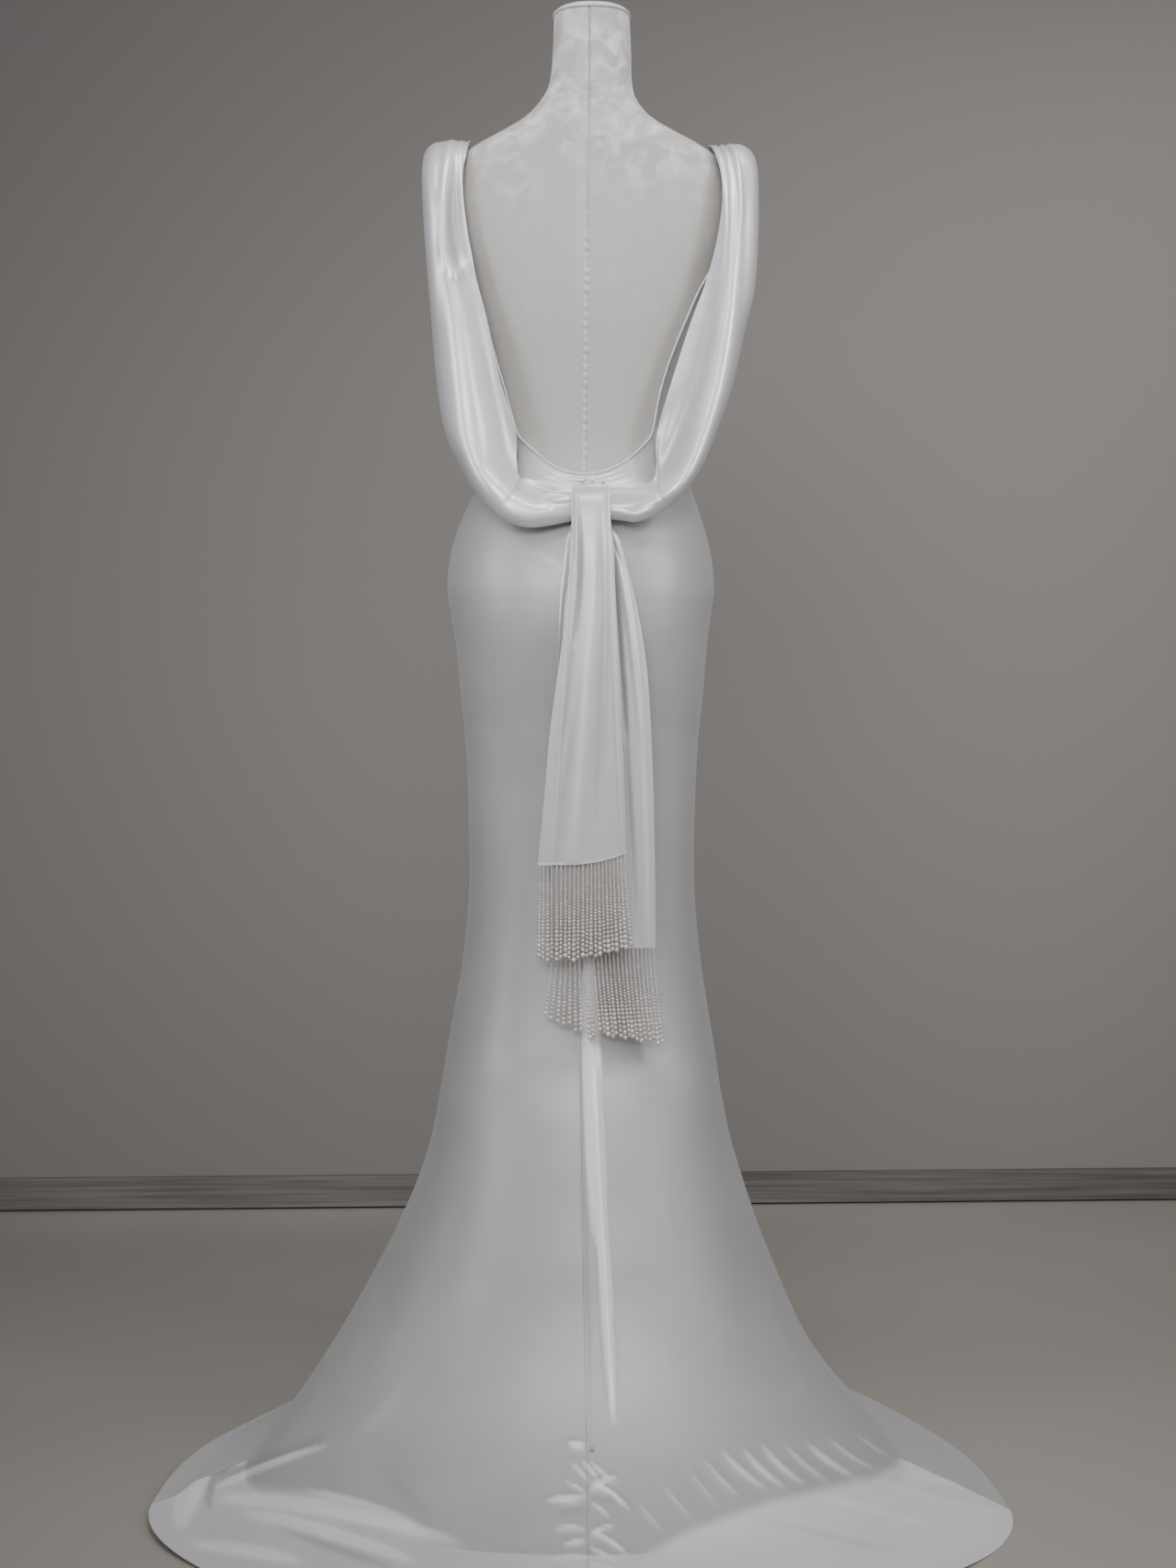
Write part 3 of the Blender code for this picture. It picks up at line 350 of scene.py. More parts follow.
form_velvet = velvet_material("crushed_velvet", (0.555, 0.53, 0.49))
SEAM_HALF = 12.0           # degrees each side of the centre back with finer columns
form_angles = np.concatenate((np.arange(-SEAM_HALF, SEAM_HALF, 0.5),
                              np.linspace(SEAM_HALF, 360 - SEAM_HALF, 84)[:-1]))
form_rows = spaced(curve_through(FORM_RINGS, 24), 330, [0])
skin = np.array([ring_points(form_angles, height, centre, half, half, 0.0, front, -back, ROUNDNESS)
                 for height, centre, half, front, back in form_rows])
wrapped = np.concatenate((skin[:, -1:], skin, skin[:, :1]), axis=1)
normals = unit_normals(wrapped)[:, 1:-1]
x, y, z = skin[..., 0], skin[..., 1], skin[..., 2]
behind = y < 0
seam_x = 0.0018 - 0.0045 * np.clip((1.65 - z) / 0.50, 0.0, 1.0)
to_seam = x - seam_x
relief = -0.0017 * np.exp(-(to_seam / 0.0011) ** 2)
SEAM_LUMPS = 31            # puckers where the velvet was eased into the seam
SEAM_PITCH = 0.0106
chance = np.random.default_rng(5)
for index in range(SEAM_LUMPS):
    lump_height = 1.482 - SEAM_PITCH * index + chance.normal(0, 0.0009)
    rise = 0.0030 * chance.uniform(0.55, 1.1) * min(1.0, (index + 2) / 6)
    shape = np.clip(1.35 - np.abs((z - lump_height) / 0.0040), 0.0, 1.0)
    relief += rise * shape * np.exp(-((to_seam + chance.uniform(0.0010, 0.0022)) / 0.0026) ** 4)
NECK_SEAM = 1.6405
relief = np.where(behind, relief, 0.0)
relief -= 0.0009 * np.exp(-((z - NECK_SEAM - 0.004 * (x / 0.06) ** 2) / 0.0012) ** 2)
skin = skin + normals * relief[..., None]
rows, columns = skin.shape[:2]
faces = []
for row in range(rows - 1):
    for column in range(columns):
        beside = (column + 1) % columns
        faces.append((row * columns + column, row * columns + beside,
                      (row + 1) * columns + beside, (row + 1) * columns + column))
faces.append(range(columns - 1, -1, -1))
faces.append(range((rows - 1) * columns, rows * columns))
form = add_object("form_velvet_skin", skin.reshape(-1, 3), faces, form_velvet)
form.data.flip_normals()
# Painted shade in the seam's groove and painted highlight on its lumps, carried by the lustre attribute.
shine = np.where(np.abs(to_seam) < 0.012, np.clip(relief / 0.0016, -1.0, 1.0), 0.0)
form.data.attributes.new("lustre", "FLOAT", "POINT").data.foreach_set("value", shine.ravel())
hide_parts("form_torso")
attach(form, "root")

# The cap's velvet is painted lighter and cooler than the body's: painted sheen of the nap at the top of the form.
cap_velvet = velvet_material("cap_velvet", (0.66, 0.65, 0.645))
cap_rings = []
centre, half, front, back = FORM_RINGS[0][1:]
CORD = 0.0016              # radius of the piping round the cap
for turn in np.linspace(math.radians(-80), math.radians(75), 9):
    grow = CORD * math.cos(turn)
    cap_rings.append((FORM_TOP + 0.0024 + CORD * math.sin(turn), grow))
for share in np.linspace(0.06, 0.985, 22):
    cap_rings.append((FORM_TOP + 0.0030 + (CAP_RISE - 0.0028) * share,
                      -half * (1 - math.sqrt(1 - share ** 2 * 0.97)) - 0.0004))
cap_angles = np.linspace(0, 360, 97)[:-1]
points = np.array([ring_points(cap_angles, height, centre, half + grow, half + grow, 0.0, front + grow,
                               -back - grow, ROUNDNESS) for height, grow in cap_rings])
rows, columns = points.shape[:2]
faces = [(row * columns + column, row * columns + (column + 1) % columns,
          (row + 1) * columns + (column + 1) % columns, (row + 1) * columns + column)
         for row in range(rows - 1) for column in range(columns)]
faces.append(range(columns - 1, -1, -1))
faces.append(range((rows - 1) * columns, rows * columns))
cap = add_object("neck_cap_cover", points.reshape(-1, 3), faces, cap_velvet)
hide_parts("neck_cap")
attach(cap, "root")


# Stand.  A steel pole and a round base in white enamel, under the skirt.
enamel, tree, shader = new_material("white_enamel", {"Roughness": 0.32, "Coat Weight": 0.3})
place = tree.node("ShaderNodeTexCoord", output=3)
plug(shader, "Base Color", place.noise(9.0, 3.0).spread(0.3, 0.7).mix((0.76, 0.76, 0.75), (0.82, 0.82, 0.81)))
plug(shader, "Normal", bump(tree, place.noise(260.0), 0.0004, 0.25))
for name in ("stand_pole", "stand_base"):
    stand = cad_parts[name]
    stand.data.materials.clear()
    stand.data.materials.append(enamel)


# Bodice.  Satin cut in one piece for the front and sides, with two straps that end at the
# shoulders; its edges are turned in and stitched.
EASE = 0.0021              # from the form's skin to the inside of the cloth
CLOTH = 0.0009             # satin with its lining, as it shows
BODICE_OUTSIDE = 0.0033
SKIRT_OUTSIDE = 0.0036
WAIST_HEIGHT = 1.140
HALF_SEAM = 0.00015
# height, degrees left and right of the centre back
BACK_EDGE = [
    (1.140, 40.0, 40.0), (1.180, 38.5, 38.5), (1.204, 41.5, 38.0), (1.250, 48.5, 40.0),
    (1.293, 52.5, 43.5), (1.339, 56.0, 50.0), (1.392, 61.0, 59.0), (1.430, 70.0, 70.0),
    (1.470, 82.0, 82.0), (1.520, 90.0, 90.0), (1.560, 90.0, 90.0),
]
SHOULDER_HEIGHT = 1.560
STRAP_SHARE = 0.13
NECKLINE_HEIGHT = 1.440


def satin_material(name, colour, shadow, bright, roughness, weave=0.00006, crumple=0.0010, gloss=0.40,
                   sheen=0.15):
    """Heavy satin: long floats that run down the cloth, with painted highlights on the crests of its creases and
    painted shade in their hollows.
    """
    material, tree, shader = new_material(name, {
        "Roughness": roughness, "Metallic": gloss, "Specular IOR Level": 0.6,
        "Sheen Weight": sheen, "Sheen Roughness": 0.42,
    })
    flat = tree.node("ShaderNodeUVMap", uv_map="cloth")
    floats = flat.node("ShaderNodeMapping", {"Vector": flat, "Scale": (1.0, 0.16, 1.0)})
    grain = floats.noise(1500.0, 2.0)
    slubs = flat.node("ShaderNodeMapping", {"Vector": flat, "Scale": (1.0, 0.05, 1.0)}).noise(420.0, 1.0)
    soft = flat.noise(16.0, 3.0, 0.4)
    tone = soft.spread(0.30, 0.70, 0.0, 0.75) + grain.spread(0.3, 0.7, 0.0, 0.25)
    # Painted light: a positive lustre paints crests towards the bright colour, a painted highlight; a negative one
    # paints hollows darker, a painted shade.
    lustre = flat.node("ShaderNodeAttribute", output=2, attribute_name="lustre", attribute_type="GEOMETRY")
    hollow = lustre.spread(-1.0, 0.0, 1.0, 0.0).mix(tone.mix(shadow, colour), [0.76 * part for part in shadow])
    plug(shader, "Base Color", lustre.mix(hollow, bright))
    plug(shader, "Roughness", soft.spread(0.3, 0.7, roughness - 0.03, roughness + 0.05))
    height = grain * weave + slubs * (weave * 0.7) + soft * crumple
    plug(shader, "Normal", bump(tree, height, 1.0, 0.8))
    return material


def add_cloth(name, outer, material, thickness=CLOTH, floor_line=None, lustre=None):
    """A thin closed wall from the grid of its outside, with metres of cloth as its UV map."""
    inner = outer - unit_normals(outer) * thickness
    if floor_line is not None:
        inner[..., 2] = np.maximum(inner[..., 2], floor_line)
    rows, columns = outer.shape[:2]
    count = rows * columns
    corner = (np.arange(rows - 1)[:, None] * columns + np.arange(columns - 1)[None, :]).ravel()
    face = np.stack((corner, corner + 1, corner + columns + 1, corner + columns), axis=1)
    edge = np.concatenate((np.arange(rows) * columns, (rows - 1) * columns + np.arange(1, columns),
                           np.arange(rows - 2, -1, -1) * columns + columns - 1,
                           np.arange(columns - 2, 0, -1)))
    beside = np.roll(edge, -1)
    faces = np.concatenate((face, face[:, ::-1] + count,
                            np.stack((edge, beside, beside + count, edge + count), axis=1)))
    points = np.concatenate((outer.reshape(-1, 3), inner.reshape(-1, 3)))
    piece = add_object(name, points, faces.tolist(), material)
    across = np.linalg.norm(np.diff(outer, axis=1, prepend=outer[:, :1]), axis=2).cumsum(axis=1)
    down = np.linalg.norm(np.diff(outer, axis=0, prepend=outer[:1]), axis=2).cumsum(axis=0)
    across = across - across[:, columns // 2:columns // 2 + 1]
    flat = np.tile(np.stack((across, down.mean(axis=1, keepdims=True) + 0 * down), axis=-1).reshape(-1, 2), (2, 1))
    layer = piece.data.uv_layers.new(name="cloth")
    corners = np.zeros(len(piece.data.loops), dtype=np.int32)
    piece.data.loops.foreach_get("vertex_index", corners)
    layer.data.foreach_set("uv", flat[corners].ravel())
    # The lustre attribute holds painted light: painted highlight where positive, painted shade where negative.
    if lustre is not None:
        shine = piece.data.attributes.new("lustre", "FLOAT", "POINT")
        shine.data.foreach_set("value", np.tile(lustre.ravel(), 2))
    body = bmesh.new()
    body.from_mesh(piece.data)
    bmesh.ops.recalc_face_normals(body, faces=body.faces)
    body.to_mesh(piece.data)
    body.free()
    piece.data.shade_smooth()
    piece.data.set_sharp_from_angle(angle=math.radians(60))
    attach(piece, "root")
    return piece


def add_creases(outer, flat, creases):
    """Raises or sinks the grid along soft lines: start, middle and end on the flat, width, height.

    Returns the new grid and how far each point rose."""
    normals = unit_normals(outer)
    relief = np.zeros(outer.shape[:2])
    for x0, y0, x1, y1, x2, y2, width, height in creases:
        share = np.linspace(0.0, 1.0, 13)[:, None]
        line = ((1 - share) ** 2 * np.array((x0, y0)) + 2 * share * (1 - share) * np.array((x1, y1))
                + share ** 2 * np.array((x2, y2)))
        reach = np.full(relief.shape, 9.0)
        along = np.zeros(relief.shape)
        for step in range(12):
            span = line[step + 1] - line[step]
            place = np.clip(((flat - line[step]) @ span) / (span @ span), 0.0, 1.0)
            gap = np.linalg.norm(flat - line[step] - place[..., None] * span, axis=2)
            nearer = gap < reach
            reach = np.where(nearer, gap, reach)
            along = np.where(nearer, (step + place) / 12, along)
        fade = np.sin(math.pi * np.clip(along * 0.94 + 0.03, 0.0, 1.0)) ** 0.8
        relief += height * fade * np.exp(-(reach / width) ** 2)
    return outer + normals * relief[..., None], relief


CREST = 0.0036             # rise of a crease whose crest gets the full painted highlight
satin = satin_material("ivory_satin", (0.76, 0.75, 0.755), (0.71, 0.70, 0.71), (0.97, 0.97, 0.975), 0.36,
                       gloss=0.30)
shares = np.linspace(0.0, 1.0, 140)
bodice = np.zeros((100, 140, 3))
from_strap = (np.minimum(shares, 1.0 - shares) - STRAP_SHARE) / (0.42 - STRAP_SHARE)
tops = SHOULDER_HEIGHT + (NECKLINE_HEIGHT - SHOULDER_HEIGHT) * np.sin(
    np.clip(from_strap, 0.0, 1.0) * math.pi / 2) ** 2
edge_heights, left_angles, right_angles = np.array(BACK_EDGE).T
for row, down in enumerate(np.linspace(0.0, 1.0, 100)):
    for column, share in enumerate(shares):
        height = tops[column] + (WAIST_HEIGHT + HALF_SEAM - tops[column]) * down
        start = np.interp(height, edge_heights, right_angles)
        angle = start + (360 - start - np.interp(height, edge_heights, left_angles)) * share
        bodice[row, column] = on_form(angle, height, BODICE_OUTSIDE)
# Pulls that run from the bust and under the arms to the waist: x, height three times, width, rise
BODICE_CREASES = [
    (-0.060, 1.350, -0.050, 1.250, -0.030, 1.160, 0.009, 0.0022),
    (0.070, 1.340, 0.058, 1.250, 0.040, 1.155, 0.008, 0.0018),
    (-0.010, 1.330, -0.004, 1.260, 0.006, 1.170, 0.010, 0.0015),
    (-0.095, 1.300, -0.088, 1.240, -0.080, 1.170, 0.007, 0.0016),
    (0.100, 1.310, 0.092, 1.250, 0.090, 1.180, 0.009, 0.0014),
    (-0.050, 1.470, 0.000, 1.430, 0.055, 1.465, 0.010, 0.0022),
]
bodice, relief = add_creases(bodice, bodice[..., [0, 2]] + (bodice[..., 1:2] < 0) * 9.0, BODICE_CREASES)
# Painted highlights on the crests of the pulls, and painted shade on the back of the sides, where they sit under the
# drapes.
shine = relief / CREST - 1.0 * (bodice[..., 1] < 0.02) * (np.abs(bodice[..., 0]) > 0.085)
bodice_piece = add_cloth("bodice_satin", bodice, satin, lustre=np.clip(shine, -1.0, 1.0))
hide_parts("bodice_front")
sewn_edges = {"neck_stitches": bodice[4, 6:-6], "back_edge_stitches": bodice[5:-5, -4]}


# Yokes.  Two shallow panels of the low back, gathered towards the crystals at the middle.
LOW_BACK_HEIGHT = 1.157
LOW_BACK_CURVE = 7.6
YOKE_CORNER = 1.180
SEAM_ANGLE = 0.45
YOKE_GATHERS = 7           # folds that fan out from the closure
yoke_tops = {}
for side, name, edge_angles in ((-1, "yoke_back_left", left_angles), (1, "yoke_back_right", right_angles)):
    yoke = np.zeros((26, 96, 3))
    shine = np.zeros((26, 96))
    corner_angle = np.interp(YOKE_CORNER, edge_heights, edge_angles)
    for column in range(96):
        share = (column / 95) ** 1.2
        reach = on_form(share * corner_angle, YOKE_CORNER)[0] - on_form(0.0, YOKE_CORNER)[0]
        top = LOW_BACK_HEIGHT + LOW_BACK_CURVE * reach * reach
        for row in range(26):
            height = top + (WAIST_HEIGHT + HALF_SEAM - top) * row / 25
            limit = np.interp(height, edge_heights, edge_angles) - SEAM_ANGLE
            yoke[row, column] = on_form(side * share * limit, height, BODICE_OUTSIDE)
            yoke[row, column, 0] += side * HALF_SEAM
            wave = 0.5 + 0.5 * math.sin(2 * math.pi * (row / 25 * YOKE_GATHERS / 2 + 1.2 * share + 0.15 * side))
            fade = math.sin(math.pi * min(row / 25 * 1.1, 1.0)) ** 0.5 * math.exp(-share * 4.5)
            yoke[row, column, 1] -= 0.0026 * wave * fade
            # Painted light: the yokes are painted lighter overall, with painted highlights and painted shade along
            # the gathers.
            shine[row, column] = 0.35 + (1.6 * wave - 0.9) * fade
    yoke = yoke if side > 0 else yoke[:, ::-1]
    shine = shine if side > 0 else shine[:, ::-1]
    yoke_tops[side] = yoke[0]
    yoke_piece = add_cloth(name + "_satin", yoke, satin, lustre=shine)
    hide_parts(name)


# Binding.  A rolled strip of the same satin that finishes the open edge of the back.
BINDING_RADIUS = 0.0015
right_side = [point for point in bodice[:, 0] if 1.218 < point[2] < 1.500]
left_side = [point for point in bodice[:, -1] if 1.218 < point[2] < 1.500]
line = np.array(right_side + list(yoke_tops[1][::-1]) + list(yoke_tops[-1][::-1]) + left_side[::-1])
for smoothing in range(12):
    line[1:-1] = 0.5 * line[1:-1] + 0.25 * (line[:-2] + line[2:])
line = spaced(line, 300, [0, 1, 2])
along = np.gradient(line, axis=0)
along /= np.linalg.norm(along, axis=1, keepdims=True)
outward = line * (1.0, 1.0, 0.0)
outward /= np.linalg.norm(outward, axis=1, keepdims=True)
open_side = np.cross(along, outward)
open_side /= np.linalg.norm(open_side, axis=1, keepdims=True)
line = line + open_side * (BINDING_RADIUS + 0.0002) + outward * 0.0004
turns = np.linspace(0, 2 * math.pi, 13)[:-1]
wobble = 1.0 + 0.10 * np.sin(np.arange(300) * 0.9) * np.sin(np.arange(300) * 0.23)
rings = (line[:, None, :] + BINDING_RADIUS * wobble[:, None, None]
         * (np.cos(turns)[None, :, None] * outward[:, None, :]
            + np.sin(turns)[None, :, None] * np.cross(outward, along)[:, None, :]))
faces = [(row * 12 + turn, row * 12 + (turn + 1) % 12, (row + 1) * 12 + (turn + 1) % 12, (row + 1) * 12 + turn)
         for row in range(299) for turn in range(12)]
faces.append(range(11, -1, -1))
faces.append(range(299 * 12, 300 * 12))
rouleau_satin, tree, shader = new_material("rouleau_satin", {"Roughness": 0.38, "Sheen Weight": 0.1})
place = tree.node("ShaderNodeTexCoord", output=3)
plug(shader, "Base Color", place.noise(120.0, 2.0).spread(0.3, 0.7).mix((0.76, 0.75, 0.74), (0.86, 0.85, 0.84)))
plug(shader, "Normal", bump(tree, place.noise(600.0), 0.0003, 0.5))
binding = add_object("back_rouleau", rings.reshape(-1, 3), faces, rouleau_satin)
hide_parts("back_binding")
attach(binding, "root")


# Closure.  Three clear cut crystals in thin cups, sewn over the hook at the middle of the back.
crystal, tree, shader = new_material("clear_crystal", {
    "Roughness": 0.10, "IOR": 1.62, "Transmission Weight": 0.15, "Metallic": 0.3, "Coat Weight": 0.6,
})
place = tree.node("ShaderNodeTexCoord", output=3)
plug(shader, "Base Color", place.noise(300.0, 1.0).spread(0.35, 0.65).mix((0.70, 0.72, 0.75), (0.98, 0.98, 1.0)))
for name in ("closure_crystal_1", "closure_crystal_2", "closure_crystal_3", "train_button"):
    low, high = (np.array(corner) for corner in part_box(name))
    middle = (low + high) / 2
    radius = (high[0] - low[0]) / 2
    body = bmesh.new()
    bmesh.ops.create_icosphere(body, subdivisions=2, radius=radius * 1.04)
    bmesh.ops.scale(body, vec=(1.0, 0.62, 1.0), verts=body.verts)
    bmesh.ops.translate(body, vec=middle, verts=body.verts)
    mesh = bpy.data.meshes.new(name + "_cut")
    body.to_mesh(mesh)
    body.free()
    mesh.materials.append(crystal)
    stone = bpy.data.objects.new(name + "_cut", mesh)
    bpy.context.scene.collection.objects.link(stone)
    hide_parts(name)
    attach(stone, "root")


# Skirt.  Four bias-cut satin panels, sewn to the waist, close to the knee, then flared and
# lying down on the floor as a train with a narrow machined hem.
# height, middle x, half width left, half width right, middle y, front y, back y, roundness
SKIRT_RINGS = [
    (0.990, -0.0090, 0.1628, 0.1628, 0.000, 0.105, -0.1420, 2.3),
    (0.960, -0.0084, 0.1583, 0.1583, 0.000, 0.105, -0.1396, 2.3),
    (0.930, -0.0080, 0.1551, 0.1551, 0.000, 0.104, -0.1350, 2.3),
    (0.900, -0.0078, 0.1526, 0.1526, 0.000, 0.103, -0.1301, 2.3),
    (0.870, -0.0078, 0.1496, 0.1496, 0.000, 0.103, -0.1253, 2.3),
    (0.840, -0.0079, 0.1467, 0.1467, 0.000, 0.103, -0.1212, 2.3),
    (0.784, -0.0078, 0.1432, 0.1432, 0.000, 0.105, -0.1158, 2.3),
    (0.726, -0.0080, 0.1416, 0.1416, 0.000, 0.109, -0.1130, 2.3),
    (0.668, -0.0080, 0.1408, 0.1408, 0.000, 0.114, -0.1130, 2.3),
    (0.610, -0.0080, 0.1437, 0.1437, 0.000, 0.122, -0.1170, 2.3),
    (0.552, -0.0082, 0.1500, 0.1500, -0.002, 0.134, -0.1250, 2.3),
    (0.494, -0.0086, 0.1597, 0.1590, -0.006, 0.150, -0.1370, 2.3),
    (0.440, -0.0088, 0.1687, 0.1675, -0.012, 0.168, -0.1560, 2.3),
    (0.390, -0.0082, 0.1774, 0.1740, -0.022, 0.187, -0.1960, 2.25),
    (0.340, -0.0075, 0.1871, 0.1833, -0.034, 0.208, -0.2310, 2.2),
    (0.290, -0.0065, 0.2043, 0.1974, -0.050, 0.230, -0.2640, 2.2),
    (0.240, -0.0055, 0.2275, 0.2132, -0.070, 0.252, -0.3000, 2.2),
    (0.190, -0.0045, 0.2542, 0.2323, -0.094, 0.275, -0.3350, 2.2),
    (0.145, -0.0035, 0.2809, 0.2512, -0.134, 0.297, -0.3730, 2.2),
    (0.105, -0.0025, 0.3072, 0.2728, -0.172, 0.315, -0.4150, 2.2),
    (0.070, -0.0015, 0.3321, 0.2985, -0.205, 0.327, -0.4620, 2.2),
    (0.040, -0.0010, 0.3564, 0.3274, -0.234, 0.335, -0.5130, 2.15),
    (0.016, -0.0005, 0.3776, 0.3500, -0.254, 0.340, -0.5650, 2.1),
    (0.004, 0.0000, 0.3880, 0.3600, -0.264, 0.343, -0.5980, 2.1),
]
HEM_RING = (0.0, 0.0, 0.4670, 0.4520, -0.450, 0.348, -0.8000, 1.9)
# Folds as seen from behind, which get no painted highlight: x and height of the start, middle and end, width, rise
SKIRT_FOLDS = [
    (-0.078, 0.726, -0.097, 0.436, -0.162, 0.088, 0.0301, 0.0022),
    (-0.110, 0.552, -0.173, 0.227, -0.301, -0.039, 0.0255, 0.0020),
    (0.093, 0.726, 0.122, 0.401, 0.186, 0.053, 0.0278, 0.0020),
    (0.122, 0.517, 0.174, 0.204, 0.290, -0.005, 0.0232, 0.0018),
    (-0.104, 1.050, -0.110, 0.957, -0.101, 0.853, 0.0301, 0.0014),
    (0.107, 1.050, 0.113, 0.957, 0.105, 0.853, 0.0301, 0.0014),
    (-0.092, 1.082, -0.057, 1.073, -0.025, 1.050, 0.0104, 0.0016),
    (0.086, 1.085, 0.063, 1.071, 0.035, 1.048, 0.0104, 0.0016),
]
# The same for the ridge beside the centre-back seam, and the seam
RIDGE = [
    (0.001, 0.563, 0.003, 0.366, 0.013, 0.204, 0.0099, 0.0034),
    (0.008, 0.482, 0.014, 0.227, 0.032, -0.025, 0.0051, 0.0028),
    (0.018, 0.227, 0.024, 0.100, 0.031, -0.010, 0.0075, 0.0014),
    (-0.013, 0.494, -0.006, 0.227, 0.001, -0.039, 0.0046, -0.0008),
]
# The same for the fine pulls that run out to the train on the right
RIGHT_PULLS = [
    (0.121, -0.074, 0.142, -0.111, 0.170, -0.132, 0.0030, 0.0007),
    (0.142, -0.065, 0.167, -0.100, 0.193, -0.120, 0.0034, 0.0009),
    (0.167, -0.058, 0.193, -0.090, 0.228, -0.111, 0.0039, 0.0013),
    (0.195, -0.056, 0.216, -0.088, 0.251, -0.109, 0.0037, 0.0015),
    (0.218, -0.051, 0.242, -0.086, 0.276, -0.104, 0.0039, 0.0014),
    (0.246, -0.051, 0.269, -0.079, 0.304, -0.100, 0.0034, 0.0011),
    (0.274, -0.049, 0.300, -0.076, 0.337, -0.095, 0.0041, 0.0015),
    (0.302, -0.044, 0.327, -0.069, 0.364, -0.086, 0.0031, 0.0011),
    (0.331, -0.035, 0.358, -0.058, 0.390, -0.074, 0.0028, 0.0008),
    (0.059, -0.120, 0.077, -0.146, 0.100, -0.169, 0.0037, 0.0007),
    (0.091, -0.097, 0.112, -0.132, 0.140, -0.151, 0.0034, 0.0007),
    (0.397, -0.072, 0.432, -0.076, 0.476, -0.086, 0.0024, 0.0008),
    (0.389, -0.086, 0.441, -0.095, 0.501, -0.111, 0.0028, 0.0009),
    (0.360, -0.100, 0.429, -0.118, 0.522, -0.139, 0.0031, 0.0007),
    (0.290, -0.118, 0.360, -0.132, 0.429, -0.155, 0.0041, 0.0006),
    (0.209, -0.144, 0.290, -0.164, 0.395, -0.190, 0.0046, -0.0004),
    (0.348, 0.007, 0.400, -0.016, 0.453, -0.057, 0.0034, 0.0009),
    (0.332, 0.016, 0.374, 0.007, 0.418, -0.023, 0.0028, 0.0008),
]
# The same for the skirt's foot, the curled hem and the lying cloth on the left
LEFT_PULLS = [
    (-0.468, -0.107, -0.405, -0.076, -0.329, -0.054, 0.0042, 0.0026),
    (-0.463, -0.095, -0.405, -0.066, -0.333, -0.044, 0.0037, -0.0020),
    (-0.514, -0.155, -0.502, -0.086, -0.437, -0.044, 0.0104, 0.0039),
    (-0.463, -0.095, -0.456, -0.067, -0.421, -0.042, 0.0046, -0.0023),
    (-0.437, -0.081, -0.437, -0.060, -0.405, -0.039, 0.0039, 0.0026),
    (-0.477, -0.132, -0.482, -0.093, -0.449, -0.060, 0.0046, -0.0020),
    (-0.468, -0.120, -0.301, -0.125, -0.155, -0.181, 0.0081, 0.0022),
    (-0.437, -0.138, -0.324, -0.160, -0.217, -0.202, 0.0070, 0.0018),
    (-0.502, -0.178, -0.428, -0.183, -0.359, -0.202, 0.0070, 0.0016),
    (-0.359, -0.111, -0.289, -0.120, -0.220, -0.151, 0.0046, 0.0014),
    (-0.393, -0.155, -0.301, -0.190, -0.243, -0.209, 0.0058, -0.0010),
    (-0.266, -0.074, -0.231, -0.109, -0.196, -0.155, 0.0093, -0.0007),
    (-0.214, 0.053, -0.254, -0.016, -0.310, -0.063, 0.0104, 0.0004),
]
# The same for the puckers where the seam's stitching draws the cloth in
SEAM_PUCKERS = [
    (-0.027, -0.052, -0.016, -0.052, -0.003, -0.054, 0.0039, 0.0021),
    (-0.023, -0.076, -0.011, -0.083, 0.001, -0.100, 0.0027, 0.0017),
    (-0.009, -0.072, 0.001, -0.081, 0.012, -0.097, 0.0026, 0.0020),
    (0.003, -0.074, 0.014, -0.086, 0.026, -0.093, 0.0026, 0.0016),
    (-0.053, -0.123, -0.030, -0.120, -0.002, -0.120, 0.0030, 0.0028),
    (-0.030, -0.100, -0.013, -0.104, -0.002, -0.116, 0.0026, 0.0015),
    (0.001, -0.111, 0.014, -0.097, 0.038, -0.093, 0.0027, 0.0025),
    (0.003, -0.100, 0.024, -0.107, 0.052, -0.134, 0.0030, 0.0027),
    (0.001, -0.125, 0.014, -0.132, 0.028, -0.144, 0.0026, 0.0017),
    (-0.039, -0.138, -0.020, -0.133, -0.002, -0.134, 0.0024, -0.0017),
    (0.005, -0.118, 0.019, -0.116, 0.035, -0.123, 0.0024, -0.0018),
    (-0.043, -0.160, -0.023, -0.155, -0.002, -0.160, 0.0027, 0.0021),
    (-0.032, -0.181, -0.016, -0.174, -0.002, -0.176, 0.0027, 0.0025),
    (0.001, -0.169, 0.014, -0.158, 0.033, -0.155, 0.0027, 0.0022),
    (0.003, -0.162, 0.026, -0.171, 0.049, -0.192, 0.0030, 0.0026),
    (0.001, -0.183, 0.014, -0.188, 0.033, -0.199, 0.0027, 0.0020),
    (-0.041, -0.197, -0.023, -0.192, -0.002, -0.195, 0.0027, 0.0018),
    (0.003, -0.204, 0.018, -0.206, 0.038, -0.215, 0.0030, 0.0017),
]
# Where the hanging cloth ends and the lying cloth, painted lighter, starts: x and height as seen from behind
LANDING = [
    (-0.567, -0.076),
    (-0.457, -0.067),
    (-0.437, -0.093),
    (-0.327, -0.109),
    (-0.208, -0.162),
    (-0.155, -0.183),
    (-0.092, -0.215),
    (-0.046, -0.232),
    (0.024, -0.215),
    (0.052, -0.196),
    (0.116, -0.158),
    (0.174, -0.136),
    (0.224, -0.118),
    (0.289, -0.102),
    (0.360, -0.086),
    (0.389, -0.069),
    (0.400, -0.039),
    (0.429, 0.030),
]
